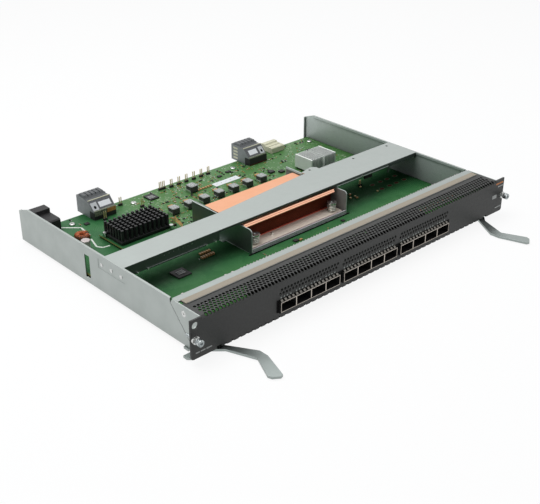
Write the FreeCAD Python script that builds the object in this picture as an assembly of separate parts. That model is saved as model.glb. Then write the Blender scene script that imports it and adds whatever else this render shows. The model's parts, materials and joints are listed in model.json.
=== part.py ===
"""Switch line card: a shallow rack-width tray that carries a board, its coolers, twelve ports behind a
perforated front panel, two ejector levers and two captive thumbscrews.

The pieces are drawn from the face datum: X runs along the front panel from its middle, Y runs back from
the panel's front face, and Z runs up from the lower edge of the ears. At the end everything is moved so
that the origin is under the middle of the whole card, at its lowest point.
"""
import math
import os

import FreeCAD
import Part

V = FreeCAD.Vector

# Front panel: one folded sheet with the ears, the face, a bevelled bend and a perforated deck.
PANEL_WIDTH = 482.6
EAR_OVERHANG = 13.0
EAR_HEIGHT = 42.7
PANEL_SHEET = 2.0
FACE_TOP = 39.4
EAR_CORNER_RADIUS = 2.5
DECK_REAR = 27.8
RETURN_HEIGHT = 13.0
RETURN_CLEARANCE = 0.25

# Tray: one folded sheet with a floor, two walls, hems and rear flanges.
TRAY_WIDTH = PANEL_WIDTH - 2 * EAR_OVERHANG
TRAY_BOTTOM = -1.0
TRAY_TOP = 42.2
TRAY_REAR = 328.0
SHEET = 1.2
HEM_HEIGHT = 3.0
REAR_FLANGE = 2.4
REAR_CHAMFER_LENGTH = 17.0
REAR_CHAMFER_HEIGHT = 6.2
LIP_TOP = 4.5
WALL_SLOT_REAR = 195.0
WALL_SLOT_WIDTH = 9.2
WALL_SLOT_HEIGHT = 27.0
WALL_SLOT_BOTTOM = 5.0
RIVET_ROW_FRONT = 128.2
RIVET_PITCH = 17.3
RIVET_COUNT = 3
RIVET_RADIUS = 1.5
RIVET_HEIGHT = 31.4
RIVET_HEAD_SIZE = 2.2
EMBOSS_DEPTH = 0.3
EMBOSS_MARGIN = 6.2
EMBOSS_HEIGHT = 11.0
RIVET_CAP = 0.5

# Side brackets: the diagonal seam between a bracket and its tray wall.
SEAM_FRONT = 12.0
SEAM_RISE = 39.0
SEAM_RUN = 35.2
SEAM_GAP = 0.8
BRACKET_BOTTOM = 3.0
BRACKET_LAP = 7.0
BRACKET_SCREW_Y = 26.5
BRACKET_SCREW_Z = 33.8
BRACKET_SCREW_RADIUS = 1.5
BRACKET_SCREW_HEAD_RADIUS = 3.3
BRACKET_SCREW_DRIVE = 1.1
BRACKET_SCREW_LENGTH = 7.0

# Guide hole through the left ear, beside the upper corner.
GUIDE_HOLE_RADIUS = 3.9
GUIDE_HOLE_INSET = 5.8
GUIDE_HOLE_Z = 36.0

# Perforations: a staggered field on the deck and the bend, and one slanted patch above each port group.
VENT_PITCH = 4.4
VENT_SIDE = 8.1
VENT_COUNT = int((TRAY_WIDTH - 2 * VENT_SIDE) / VENT_PITCH) + 1
VENT_SLOT_WIDTH = 2.6
VENT_FIELD_REAR = 20.7
PATCH_SLOTS = 19
PATCH_SLOT_WIDTH = 2.3
PATCH_BOTTOM = 25.3
PATCH_TOP = 32.7
PATCH_SLANT = 4.0
TOOTH_PITCH = 8.8
TOOTH_WIDTH = 3.2
TOOTH_HEIGHT = 2.2
TOOTH_SIDE = 20.3
TOOTH_SPAN = TRAY_WIDTH - 2 * TOOTH_SIDE
TOOTH_INSET = 8.4
LEVER_NOTCH_WIDTH = 6.4
LEVER_NOTCH_HEIGHT = 2.8

# Ports: three ganged cages of four sockets.
PORT_PITCH = 21.0
PORTS_PER_CAGE = 4
CAGE_COUNT = 3
CAGE_GAP = 6.15
CAGE_LEFT = -130.3
CAGE_HEIGHT = 11.1
CAGE_SHEET = 0.6
CAGE_DEPTH = 51.0
CAGE_PROUD = 3.0
WINDOW_MARGIN = 3.6
WINDOW_TOP = 21.4
WINDOW_BOTTOM = 6.9
SOCKET_DEPTH = 38.0
COLLAR_CLEARANCE = 0.1
COLLAR_WIDTH = 1.3
COLLAR_PROUD = 2.4
GASKET_SETBACK = 0.3
FINGER_HEIGHT = 2.2
FINGER_SHEET = 0.5
FINGER_WIDTH = 2.7
FINGER_STRIP = 0.8
FINGERS_PER_PORT = 4
FINGER_CLEARANCE = 0.2

# Status indicators, four above each port.
LENS_RADIUS = 1.0
LENS_Z = 22.9
LENS_INSET = 2.4
LENS_PITCH = 4.35
LENSES_PER_PORT = 4
LENS_PROUD = 0.3
LENS_LENGTH = 4.0
LENS_CLEARANCE = 0.05

# Front rail, gaskets.
RAIL_REAR = 45.5
RAIL_LAP = 6.0
RAIL_LIP = 5.0
RAIL_GAP = 0.2
RAIL_END_GAP = 3.2
GASKET_WIDTH = 8.6
GASKET_HEIGHT = 0.9
SEAL_THICKNESS = 1.0

# Main board.
BOARD_TOP = 7.5
BOARD_THICKNESS = 2.4
BOARD_FRONT = 5.0
BOARD_REAR = 322.2
BOARD_SIDE_GAP = 2.8
BOARD_WIDTH = TRAY_WIDTH - 2 * BOARD_SIDE_GAP
STANDOFF_RADIUS = 3.0
SCREW_HEAD_RADIUS = 3.4
SCREW_HEAD_HEIGHT = 1.9
SCREW_HEAD_CHAMFER = 0.7
SCREW_DRIVE = 1.3
SCREW_SHANK_RADIUS = 1.5
SCREW_GRIP = 3.0
SCREW_ROW_REAR = 306.0
SCREW_ROW_FRONT = 62.0
SCREW_LEFT_SHARE = 0.39
SCREW_MIDDLE_LEFT = -87.4
SCREW_MIDDLE_RIGHT = 72.7
SCREW_RIGHT_INSET = 11.0

# Cross brace.
BRACE_FRONT = 125.1
BRACE_REAR_LEFT = 159.0
BRACE_REAR_RIGHT = 172.0
BRACE_SLANT_START = -73.0
BRACE_SLANT_END = 67.5
BRACE_TAB_LEFT = 73.5
BRACE_TAB_WIDTH = 24.5
BRACE_TAB_DEPTH = 9.5
BRACE_WEB_LEFT_HEIGHT = 11.6
BRACE_WEB_LEFT_END = -101.5
BRACE_WEB_RIGHT_HEIGHT = 5.2
BRACE_WEB_RIGHT_START = 78.0
BRACE_WEB_MIDDLE_HEIGHT = 2.6
BRACE_END_FLANGE = 8.0
BRACE_HOLE_RADIUS = 1.6
BRACE_HOLE_INSET = 7.0
BRACE_HOLE_SIDE = 10.6
BRACE_HOLE_MIDDLE = 152.0
BRACE_TAB_CORNER = 4.0
BRACE_LIP_LEFT = -197.0
BRACE_LIP_RIGHT = -120.5
BRACE_LIP_DEPTH = 1.1
BRACE_WEB_HOLES = 7
BRACE_WEB_HOLE_START = -175.6
BRACE_WEB_HOLE_PITCH = 6.1

# Copper cooler over the switch chip, between two air baffles.
COOLER_X = 6.2
COOLER_WIDTH = 141.0
COOLER_FRONT = 125.0
COOLER_REAR = 196.8
COOLER_TOP = 35.0
COVER_SHEET = 1.2
COVER_LIP_HEIGHT = 3.0
COVER_LIP_DEPTH = 1.6
COVER_GROOVE = 0.35
COVER_GROOVE_PITCH = 1.0
FIN_SETBACK = 5.0
FIN_PITCH = 1.5
FIN_SHEET = 0.3
COLD_PLATE_FRONT = 112.6
COLD_PLATE_REAR = 212.0
COLD_PLATE_MARGIN = 1.0
COLD_PLATE_WIDTH = COOLER_WIDTH + 2 * COLD_PLATE_MARGIN
COLD_PLATE_BOTTOM = 10.0
COLD_PLATE_TOP = 12.5
SWITCH_CHIP_SIZE = 45.0
BAFFLE_GAP = 3.95
BAFFLE_SPACING = COOLER_WIDTH + 2 * BAFFLE_GAP
BAFFLE_FRONT = 109.0
BAFFLE_REAR = 213.0
BAFFLE_TOP = 36.7
BAFFLE_CORNER_RADIUS = 4.0
BAFFLE_LIP = 2.4
SILL_DEPTH = 1.6
SILL_HEIGHT = 5.3
SILL_RIB_PITCH = 2.9
SILL_RIB_WIDTH = 1.5
SILL_RIB_DEPTH = 0.4
SPRING_SCREW_SIDE = 10.3
SPRING_SCREW_SPREAD = COLD_PLATE_WIDTH / 2 - SPRING_SCREW_SIDE
SPRING_SCREW_INSET = 7.4
SPRING_SCREW_HEAD_RADIUS = 5.9
SPRING_SCREW_HEAD_HEIGHT = 1.6
SPRING_SCREW_HEIGHT = 11.5
SPRING_SCREW_SHANK_RADIUS = 2.0
SPRING_WIRE_RADIUS = 0.75
SPRING_INSET = 0.55
SPRING_TURNS = 4

# Processor card with its pin cooler.
CARD_LEFT = -169.6
CARD_WIDTH = 76.0
CARD_FRONT = 207.0
CARD_DEPTH = 51.0
CARD_BOTTOM = 9.3
CARD_THICKNESS = 1.6
PIN_COOLER_INSET = 2.6
PIN_COOLER_LEFT = CARD_LEFT + PIN_COOLER_INSET
PIN_COOLER_FRONT = 216.0
PIN_COOLER_BASE = 2.4
PIN_COOLER_TOP = 28.2
PIN_COLUMNS = 11
PIN_ROWS = 7
PIN_PITCH_X = 6.2
PIN_PITCH_Y = 5.4
PIN_SIZE = 3.0
PROCESSOR_SIZE = 27.0
PROCESSOR_HEIGHT = 1.4
PUSH_PIN_RADIUS = 2.4

# Plate cooler over the fabric chip.
PLATE_COOLER_LEFT = 134.5
PLATE_COOLER_WIDTH = 44.6
PLATE_COOLER_FRONT = 221.0
PLATE_COOLER_DEPTH = 31.2
PLATE_COOLER_TOP = 27.0
PLATE_COOLER_BASE = 2.8
PLATE_FIN_PITCH = 2.6
PLATE_FIN_SHEET = 0.7
PLATE_COOLER_GAP = 3.4
FABRIC_CHIP_SIZE = 25.0
FABRIC_CHIP_HEIGHT = 2.2

# Rear connectors.
BACKPLANE_LEFT_X = -149.4
BACKPLANE_RIGHT_X = 94.4
BACKPLANE_WIDTH = 30.6
BACKPLANE_FRONT = 297.0
BACKPLANE_REAR = 334.0
BACKPLANE_TOP = 29.0
BACKPLANE_STEP = 1.2
BACKPLANE_RIB_FRONT = 318.0
BACKPLANE_RIB_HEIGHT = 2.4
BACKPLANE_RIBS = 5
BACKPLANE_FOOT_DEPTH = 9.5
BACKPLANE_FOOT_HEIGHT = 9.6
WAFER_COUNT = 4
WAFER_PITCH = 4.5
WAFER_HEIGHT = 2.6
WAFER_WIDTH = 8.6
WAFER_DEPTH = 3.0
WAFER_REAR_INSET = 4.0
GUIDE_BLOCK_LEFT = 145.0
GUIDE_BLOCK_WIDTH = 23.5
GUIDE_BLOCK_FRONT = 309.0
GUIDE_BLOCK_DEPTH = 22.0
GUIDE_BLOCK_HEIGHT = 7.6
GUIDE_RIDGE_HEIGHT = 1.8
GUIDE_RIDGE_DEPTH = 8.0
GUIDE_GROOVE = 1.2
POWER_INSET = 15.3
POWER_LEFT = POWER_INSET - TRAY_WIDTH / 2
POWER_WIDTH = 22.0
POWER_FRONT = 303.0
POWER_STEP = 325.0
POWER_REAR = 337.5
POWER_LOW_TOP = 22.5
POWER_HIGH_TOP = 28.0
POWER_BLADES = 4
POWER_BLADE_DEPTH = 9.0

# Power parts and small parts on the board.
INDUCTOR_COUNT = 7
INDUCTOR_PITCH = 23.5
INDUCTOR_LEFT = -68.2
INDUCTOR_Y = 249.8
INDUCTOR_SIZE = 10.6
INDUCTOR_HEIGHT = 9.0
LARGE_INDUCTOR_X = -12.2
LARGE_INDUCTOR_Y = 285.6
LARGE_INDUCTOR_SIZE = 11.4
LARGE_INDUCTOR_HEIGHT = 9.4
TERMINAL_HEIGHT = 1.2
TERMINAL_TAB = 0.4
TERMINAL_TAB_HEIGHT = 3.4
CERAMIC_OFFSET_X = 7.6
CERAMIC_OFFSET_Y = 17.0
CERAMIC_ROW_X = -116.0
CERAMIC_ROW_Y = 138.6
CERAMIC_PITCH = 3.2
RESISTOR_ROW_X = -5.0
RESISTOR_ROW_Y = 282.2
RESISTOR_PITCH = 4.0
CHOKE_INSET = -14.8
CHOKE_X = CARD_LEFT + CHOKE_INSET
CHOKE_Y = 269.6
CHOKE_OUTER_RADIUS = 8.4
CHOKE_TUBE_RADIUS = 2.5
BULK_CAPACITOR_INSET = -28.0
BULK_CAPACITOR_X = CARD_LEFT + BULK_CAPACITOR_INSET
BULK_CAPACITOR_Y = 241.4
BULK_CAPACITOR_RADIUS = 5.2
BULK_CAPACITOR_HEIGHT = 12.6
LABEL_LEFT = 19.0
LABEL_FRONT = 275.5
LABEL_WIDTH = 41.0
LABEL_DEPTH = 10.0
LABEL_THICKNESS = 0.3
HEADER_Y = 313.4
HEADER_LEFT = -23.6
HEADER_PITCH = 12.05
HEADER_COUNT = 6
HEADER_BASE_HEIGHT = 2.6
HEADER_PIN_HEIGHT = 11.0
HEADER_PIN_SIZE = 0.9
HEADER_PIN_PITCH = 2.54

# Ejector levers, drawn open, and their rivets.
LEVER_SHEET = 2.5
LEVER_GAP = 0.3
LEVER_PIVOT_INSET = 14.7
LEVER_PIVOT_X = TRAY_WIDTH / 2 - LEVER_PIVOT_INSET
LEVER_PIVOT_Y = 14.0
LEVER_ROOT_RADIUS = 7.6
LEVER_ARM_ANGLE = 58.7
LEVER_ARM_LENGTH = 52.5
LEVER_ARM_EDGE = 5.4
LEVER_ARM_START = 21.0
LEVER_ARM_WIDTH = 6.7
LEVER_ELBOW_START = 54.2
LEVER_ELBOW_WIDTH = 12.7
LEVER_ELBOW_BEVEL = 11.6
LEVER_GRIP_ANGLE = 108.4
LEVER_GRIP_LENGTH = 33.3
LEVER_TIP_SLANT = 34.0
LEVER_TIP_WIDTH = 14.2
LEVER_TIP_CORNER = 3.0
CLAW_FRONT = 8.0
CLAW_REAR = 12.5
CLAW_FRONT_REACH = 26.4
CLAW_REAR_REACH = 16.4
CLAW_CORNER = 3.0
CLAW_SLOT_START = 0.4
CLAW_SLOT_BOTTOM = 9.5
CLAW_SLOT = 5.0
RIVET_SHANK_RADIUS = 2.5
RIVET_CLEARANCE = 0.05
RIVET_HEAD_RADIUS = 4.6
RIVET_HEAD_HEIGHT = 0.8

# Captive thumbscrews.
THUMB_INSET = 4.4
THUMB_Z = 21.9
THUMB_HEAD_RADIUS = 3.6
THUMB_HEAD_LENGTH = 5.2
THUMB_SHANK_RADIUS = 1.7
THUMB_THREAD_RADIUS = 1.5
THUMB_THREAD_REACH = 12.0
THUMB_TRAVEL = 2.4
THUMB_RUNNING_GAP = 0.05
FERRULE_RADIUS = 4.2
FERRULE_HEIGHT = 2.8
FERRULE_CLEARANCE = 0.05
CLIP_RADIUS = 2.9
CLIP_SHEET = 0.8
CLIP_GROOVE_DEPTH = 0.4
COUNTERBORE_RADIUS = 2.9
COUNTERBORE_DEPTH = 3.6
SCREW_SPRING_RADIUS = 2.3
SCREW_SPRING_WIRE = 0.35
SPRING_SECTION_SIDES = 8
SCREW_SPRING_TURNS = 3
DRIVE_RADIUS = 1.6
DRIVE_DEPTH = 2.0

PIECES = {}


def piece(function):
    """Keep a function's solid under the function's own name."""
    PIECES[function.__name__] = function()
    return function


def block(x0, x1, y0, y1, z0, z1):
    return Part.makeBox(x1 - x0, y1 - y0, z1 - z0, V(x0, y0, z0))


def rod(radius, x, y, z, length, direction=(0, 0, 1)):
    return Part.makeCylinder(radius, length, V(x, y, z), V(*direction))


def prism(points, axis, start, length):
    """Push a closed outline along one axis; the outline's numbers are the other two axes in order."""
    place = {
        "x": lambda p: V(start, p[0], p[1]),
        "y": lambda p: V(p[0], start, p[1]),
        "z": lambda p: V(p[0], p[1], start),
    }[axis]
    push = {"x": V(length, 0, 0), "y": V(0, length, 0), "z": V(0, 0, length)}[axis]
    corners = [place(p) for p in points]
    return Part.Face(Part.makePolygon(corners + corners[:1])).extrude(push)


def hexagon(radius, u, v, axis, start, length):
    corners = [
        (u + radius * math.sin(math.radians(60 * k)), v + radius * math.cos(math.radians(60 * k)))
        for k in range(6)
    ]
    return prism(corners, axis, start, length)


def join(shapes):
    first, rest = shapes[0], shapes[1:]
    return first.fuse(rest).removeSplitter() if rest else first


def group(shapes):
    return Part.makeCompound(shapes)


def both_sides(shape):
    """The shape and its mirror image across the card's middle."""
    return [shape, mirrored(shape)]


def mirrored(shape):
    return shape.mirror(V(0, 0, 0), V(1, 0, 0))


def round_edges(shape, radius, axis, test):
    """Round the straight edges that run along an axis and whose middle passes the test."""
    chosen = []
    for edge in shape.Edges:
        if not isinstance(edge.Curve, Part.Line):
            continue
        run = edge.Vertexes[-1].Point - edge.Vertexes[0].Point
        along = abs({"x": run.x, "y": run.y, "z": run.z}[axis])
        if along > 0.99 * run.Length and test(edge.CenterOfMass):
            chosen.append(edge)
    return shape.makeFillet(radius, chosen)


def coil(radius, wire, turns, height, x, y, z, direction=(0, 0, 1), sides=0):
    """A compression spring that stands on a point; its wire is round, or flat-sided where sides are given."""
    pitch = (height - 2 * wire) / turns
    path = Part.Wire(Part.makeHelix(pitch, pitch * turns, radius))
    if sides:
        step = 2 * math.pi / sides
        corners = [V(radius + wire * math.cos(k * step), 0, wire * math.sin(k * step)) for k in range(sides + 1)]
        section = Part.makePolygon(corners)
    else:
        section = Part.Wire(Part.makeCircle(wire, V(radius, 0, 0), V(0, 1, 0)))
    spring = path.makePipeShell([section], True, True)
    spring.translate(V(0, 0, wire))
    turn = FreeCAD.Rotation(V(0, 0, 1), V(*direction))
    return spring.transformed(FreeCAD.Placement(V(x, y, z), turn).toMatrix(), True)


TRAY_HALF = TRAY_WIDTH / 2
WALL_INNER = TRAY_HALF - SHEET
HEM_INNER = WALL_INNER - SHEET
FLOOR_TOP = TRAY_BOTTOM + SHEET
PANEL_HALF = WALL_INNER - 0.2
DECK_BOTTOM = TRAY_TOP - PANEL_SHEET
BEVEL = TRAY_TOP - FACE_TOP
LIP_FRONT = PANEL_SHEET + SEAL_THICKNESS
FLANGE_REAR = PANEL_SHEET + SHEET
BOARD_BOTTOM = BOARD_TOP - BOARD_THICKNESS
CAGE_WIDTH = PORT_PITCH * PORTS_PER_CAGE
CAGE_PITCH = CAGE_WIDTH + CAGE_GAP
CAGE_TOP = BOARD_TOP + CAGE_HEIGHT
CAGE_LEFTS = [CAGE_LEFT + k * CAGE_PITCH for k in range(CAGE_COUNT)]
THUMB_X = PANEL_WIDTH / 2 - THUMB_INSET
GUIDE_HOLE_X = -PANEL_WIDTH / 2 + GUIDE_HOLE_INSET
LEVER_TOP = TRAY_BOTTOM - LEVER_GAP
LEVER_BOTTOM = LEVER_TOP - LEVER_SHEET
POWER_RIGHT = POWER_LEFT + POWER_WIDTH
SCREW_COLUMNS = (
    POWER_RIGHT + SCREW_LEFT_SHARE * (BACKPLANE_LEFT_X - POWER_RIGHT),
    SCREW_MIDDLE_LEFT,
    SCREW_MIDDLE_RIGHT,
    BOARD_WIDTH / 2 - SCREW_RIGHT_INSET,
)
RAIL_HALF = PANEL_HALF - RAIL_END_GAP
RIVET_YS = [RIVET_ROW_FRONT + k * RIVET_PITCH for k in range(RIVET_COUNT)]


def seam_y(z):
    """Where the diagonal seam between bracket and tray wall lies at a height."""
    return SEAM_FRONT + (z - TRAY_BOTTOM) * SEAM_RUN / SEAM_RISE


@piece
def chassis_tray():
    seam_top = TRAY_BOTTOM + SEAM_RISE
    floor = block(-TRAY_HALF, TRAY_HALF, LIP_FRONT, TRAY_REAR, TRAY_BOTTOM, FLOOR_TOP)
    wall_outline = [
        (seam_y(TRAY_BOTTOM), TRAY_BOTTOM),
        (seam_y(seam_top), seam_top),
        (seam_y(seam_top), TRAY_TOP),
        (TRAY_REAR - REAR_CHAMFER_LENGTH, TRAY_TOP),
        (TRAY_REAR, TRAY_TOP - REAR_CHAMFER_HEIGHT),
        (TRAY_REAR, TRAY_BOTTOM),
    ]
    wall = prism(wall_outline, "x", WALL_INNER, SHEET)
    hem_rear = TRAY_REAR - REAR_CHAMFER_LENGTH - SHEET
    hem = block(HEM_INNER, WALL_INNER, seam_y(seam_top) + SHEET, hem_rear, TRAY_TOP - HEM_HEIGHT, TRAY_TOP)
    flange_top = TRAY_TOP - REAR_CHAMFER_HEIGHT
    flange = block(WALL_INNER - REAR_FLANGE, WALL_INNER, TRAY_REAR - SHEET, TRAY_REAR, FLOOR_TOP, flange_top)
    lip_half = TOOTH_SPAN / 2
    lip = block(-lip_half, lip_half, LIP_FRONT, LIP_FRONT + SHEET, TRAY_BOTTOM, LIP_TOP)
    tray = join([floor, lip] + both_sides(wall) + both_sides(hem) + both_sides(flange))
    slot_front = WALL_SLOT_REAR - WALL_SLOT_WIDTH
    slot_top = WALL_SLOT_BOTTOM + WALL_SLOT_HEIGHT
    cuts = [block(-TRAY_HALF - 1, -HEM_INNER, slot_front, WALL_SLOT_REAR, WALL_SLOT_BOTTOM, slot_top)]
    pivot = rod(RIVET_SHANK_RADIUS, LEVER_PIVOT_X, LEVER_PIVOT_Y, TRAY_BOTTOM - 1, SHEET + 2)
    cuts += both_sides(pivot)
    for y in RIVET_YS:
        cuts.append(rod(RIVET_RADIUS, -TRAY_HALF - 1, y, RIVET_HEIGHT, SHEET + 2, (1, 0, 0)))
    emboss_front, emboss_rear = RIVET_YS[0] - EMBOSS_MARGIN, RIVET_YS[-1] + EMBOSS_MARGIN
    emboss_bottom = RIVET_HEIGHT - EMBOSS_HEIGHT / 2
    emboss_top = emboss_bottom + EMBOSS_HEIGHT
    cuts.append(
        block(-TRAY_HALF - 1, EMBOSS_DEPTH - TRAY_HALF, emboss_front, emboss_rear, emboss_bottom, emboss_top)
    )
    return tray.cut(group(cuts))


@piece
def wall_rivets():
    seat = EMBOSS_DEPTH - TRAY_HALF
    solids = []
    for y in RIVET_YS:
        shank = rod(RIVET_RADIUS, seat, y, RIVET_HEIGHT, SHEET - EMBOSS_DEPTH, (1, 0, 0))
        outer = rod(RIVET_HEAD_SIZE, seat - RIVET_CAP, y, RIVET_HEIGHT, RIVET_CAP, (1, 0, 0))
        inner = rod(RIVET_HEAD_SIZE, -WALL_INNER, y, RIVET_HEIGHT, RIVET_CAP, (1, 0, 0))
        solids.append(join([outer, shank, inner]))
    return group(solids)


def lens_places():
    """X of every status indicator, port by port."""
    places = []
    for left in CAGE_LEFTS:
        for port in range(PORTS_PER_CAGE):
            start = left + port * PORT_PITCH + LENS_INSET
            places += [start + k * LENS_PITCH for k in range(LENSES_PER_PORT)]
    return places


def deck_slots():
    """One cut for each column of the perforated field, from the bend to the field's rear row."""
    first = -VENT_PITCH * (VENT_COUNT - 1) / 2
    half = VENT_SLOT_WIDTH / 2
    cuts = []
    for k in range(VENT_COUNT):
        x = first + k * VENT_PITCH
        cuts.append(block(x - half, x + half, -1, VENT_FIELD_REAR, FACE_TOP, TRAY_TOP + 1))
    return cuts


def patch_slots():
    """Slanted slots above each port group."""
    pitch = CAGE_WIDTH / PATCH_SLOTS
    cuts = []
    for left in CAGE_LEFTS:
        for k in range(PATCH_SLOTS):
            x = left + (k + 0.5) * pitch
            low, high = x - PATCH_SLANT / 2, x + PATCH_SLANT / 2
            half = PATCH_SLOT_WIDTH / 2
            outline = [
                (low - half, PATCH_BOTTOM),
                (low + half, PATCH_BOTTOM),
                (high + half, PATCH_TOP),
                (high - half, PATCH_TOP),
            ]
            cuts.append(prism(outline, "y", -1, PANEL_SHEET + 2))
    return cuts


def tooth_gaps():
    """The notches along the face's lower edge."""
    first = TOOTH_INSET - TOOTH_SPAN / 2
    count = int((TOOTH_SPAN - 2 * TOOTH_INSET) / TOOTH_PITCH) + 1
    half = TOOTH_WIDTH / 2
    places = [first + k * TOOTH_PITCH for k in range(count)]
    notches = [block(x - half, x + half, -1, PANEL_SHEET + 1, -1, TOOTH_HEIGHT) for x in places]
    over_lever = block(
        TOOTH_SPAN / 2 - LEVER_NOTCH_WIDTH / 2,
        TOOTH_SPAN / 2 + LEVER_NOTCH_WIDTH / 2,
        -1,
        PANEL_SHEET + 1,
        -1,
        LEVER_NOTCH_HEIGHT,
    )
    return notches + both_sides(over_lever)


def screw_hole(radius, start, length):
    """A round hole on the thumbscrews' axis, on the right; its mirror image serves the left."""
    return rod(radius, THUMB_X, start, THUMB_Z, length, (0, 1, 0))


@piece
def front_panel():
    inner_bevel = BEVEL - PANEL_SHEET * (math.sqrt(2) - 1)
    profile = [
        (0, 0),
        (0, FACE_TOP),
        (BEVEL, TRAY_TOP),
        (DECK_REAR, TRAY_TOP),
        (DECK_REAR, DECK_BOTTOM),
        (PANEL_SHEET + inner_bevel, DECK_BOTTOM),
        (PANEL_SHEET, DECK_BOTTOM - inner_bevel),
        (PANEL_SHEET, 0),
    ]
    sheet = prism(profile, "x", -PANEL_HALF, 2 * PANEL_HALF)
    ear = block(PANEL_HALF, PANEL_WIDTH / 2, 0, PANEL_SHEET, 0, EAR_HEIGHT)
    ear = round_edges(ear, EAR_CORNER_RADIUS, "y", lambda p: p.x > PANEL_HALF + 1 and p.z < 1)
    return_bottom = DECK_BOTTOM - RETURN_HEIGHT
    return_rear = seam_y(return_bottom) - BRACKET_LAP - RETURN_CLEARANCE
    side = block(PANEL_HALF - PANEL_SHEET, PANEL_HALF, PANEL_SHEET, return_rear, return_bottom, DECK_BOTTOM)
    panel = join([sheet] + both_sides(ear) + both_sides(side))
    window_left = CAGE_LEFTS[0] - WINDOW_MARGIN
    window_right = CAGE_LEFTS[-1] + CAGE_WIDTH + WINDOW_MARGIN
    cuts = [block(window_left, window_right, -1, PANEL_SHEET + 1, WINDOW_BOTTOM, WINDOW_TOP)]
    cuts += deck_slots() + patch_slots() + tooth_gaps()
    cuts += [
        hexagon(LENS_RADIUS + LENS_CLEARANCE, x, LENS_Z, "y", -1, PANEL_SHEET + 2) for x in lens_places()
    ]
    cuts += both_sides(screw_hole(FERRULE_RADIUS * 0.7, -1, PANEL_SHEET + 2))
    cuts.append(rod(GUIDE_HOLE_RADIUS, GUIDE_HOLE_X, -1, GUIDE_HOLE_Z, PANEL_SHEET + 2, (0, 1, 0)))
    screw = rod(BRACKET_SCREW_RADIUS, PANEL_HALF + 1, BRACKET_SCREW_Y, BRACKET_SCREW_Z, PANEL_SHEET + 2, (-1, 0, 0))
    cuts += both_sides(screw)
    return panel.cut(group(cuts))


def bracket(side):
    """Side bracket: a plate in the wall's plane, a lap behind the wall and a flange behind the ear."""
    seam_top = TRAY_BOTTOM + SEAM_RISE
    low_rear = seam_y(BRACKET_BOTTOM) - SEAM_GAP
    high_rear = seam_y(seam_top) - SEAM_GAP
    outline = [
        (PANEL_SHEET, BRACKET_BOTTOM),
        (low_rear, BRACKET_BOTTOM),
        (high_rear, seam_top),
        (high_rear - 3, TRAY_TOP),
        (PANEL_SHEET, TRAY_TOP),
    ]
    plate = prism(outline, "x", WALL_INNER, SHEET)
    lap_top = TRAY_TOP - HEM_HEIGHT - SHEET
    lap_outline = [
        (seam_y(BRACKET_BOTTOM) - BRACKET_LAP, BRACKET_BOTTOM),
        (seam_y(BRACKET_BOTTOM) + BRACKET_LAP, BRACKET_BOTTOM),
        (seam_y(lap_top) + BRACKET_LAP, lap_top),
        (seam_y(lap_top) - BRACKET_LAP, lap_top),
    ]
    lap = prism(lap_outline, "x", HEM_INNER, SHEET)
    ear_inner = PANEL_WIDTH / 2 - 1.3
    flange = block(WALL_INNER, ear_inner, PANEL_SHEET, FLANGE_REAR, BRACKET_BOTTOM, TRAY_TOP - 1.0)
    flange = round_edges(flange, EAR_CORNER_RADIUS, "y", lambda p: p.x > ear_inner - 1)
    shape = join([plate, lap, flange])
    head = Part.makeCone(
        BRACKET_SCREW_HEAD_RADIUS,
        BRACKET_SCREW_RADIUS,
        SHEET,
        V(TRAY_HALF, BRACKET_SCREW_Y, BRACKET_SCREW_Z),
        V(-1, 0, 0),
    )
    shape = shape.cut(group([head, screw_hole(FERRULE_RADIUS * 0.7, 0, FLANGE_REAR + 1)]))
    if side == "left":
        shape = mirrored(shape)
        hole = rod(GUIDE_HOLE_RADIUS, GUIDE_HOLE_X, 0, GUIDE_HOLE_Z, FLANGE_REAR + 1, (0, 1, 0))
        shape = shape.cut(hole)
    return shape


PIECES["front_bracket_left"] = bracket("left")
PIECES["front_bracket_right"] = bracket("right")


@piece
def bracket_screws():
    head = Part.makeCone(
        BRACKET_SCREW_HEAD_RADIUS,
        BRACKET_SCREW_RADIUS,
        SHEET,
        V(TRAY_HALF, BRACKET_SCREW_Y, BRACKET_SCREW_Z),
        V(-1, 0, 0),
    )
    shank = rod(
        BRACKET_SCREW_RADIUS, WALL_INNER, BRACKET_SCREW_Y, BRACKET_SCREW_Z, BRACKET_SCREW_LENGTH - SHEET, (-1, 0, 0)
    )
    drive = hexagon(BRACKET_SCREW_DRIVE, BRACKET_SCREW_Y, BRACKET_SCREW_Z, "x", TRAY_HALF - 0.8, 2)
    return group(both_sides(join([head, shank]).cut(drive)))


@piece
def front_rail():
    front = DECK_REAR + RAIL_GAP
    step = front + GASKET_WIDTH
    lap_bottom = DECK_BOTTOM - SHEET
    rear_plate = block(-PANEL_HALF, PANEL_HALF, step, RAIL_REAR, TRAY_TOP - SHEET, TRAY_TOP)
    front_plate = block(-RAIL_HALF, RAIL_HALF, front, step, TRAY_TOP - SHEET, TRAY_TOP)
    riser = block(-RAIL_HALF, RAIL_HALF, front, front + SHEET, lap_bottom, TRAY_TOP)
    lap = block(-RAIL_HALF, RAIL_HALF, DECK_REAR - RAIL_LAP, front, lap_bottom, DECK_BOTTOM)
    lip = block(-RAIL_HALF, RAIL_HALF, RAIL_REAR - SHEET, RAIL_REAR, TRAY_TOP - RAIL_LIP, TRAY_TOP)
    return join([rear_plate, front_plate, riser, lap, lip])


@piece
def top_gasket():
    front = DECK_REAR + RAIL_GAP
    strip = block(-RAIL_HALF, RAIL_HALF, front, front + GASKET_WIDTH, TRAY_TOP, TRAY_TOP + GASKET_HEIGHT)
    return round_edges(strip, GASKET_HEIGHT * 0.7, "x", lambda p: p.z > TRAY_TOP + GASKET_HEIGHT / 2)


@piece
def bottom_seal():
    half = TOOTH_SPAN / 2
    return block(-half, half, PANEL_SHEET, LIP_FRONT, TRAY_BOTTOM, LIP_TOP)


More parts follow.
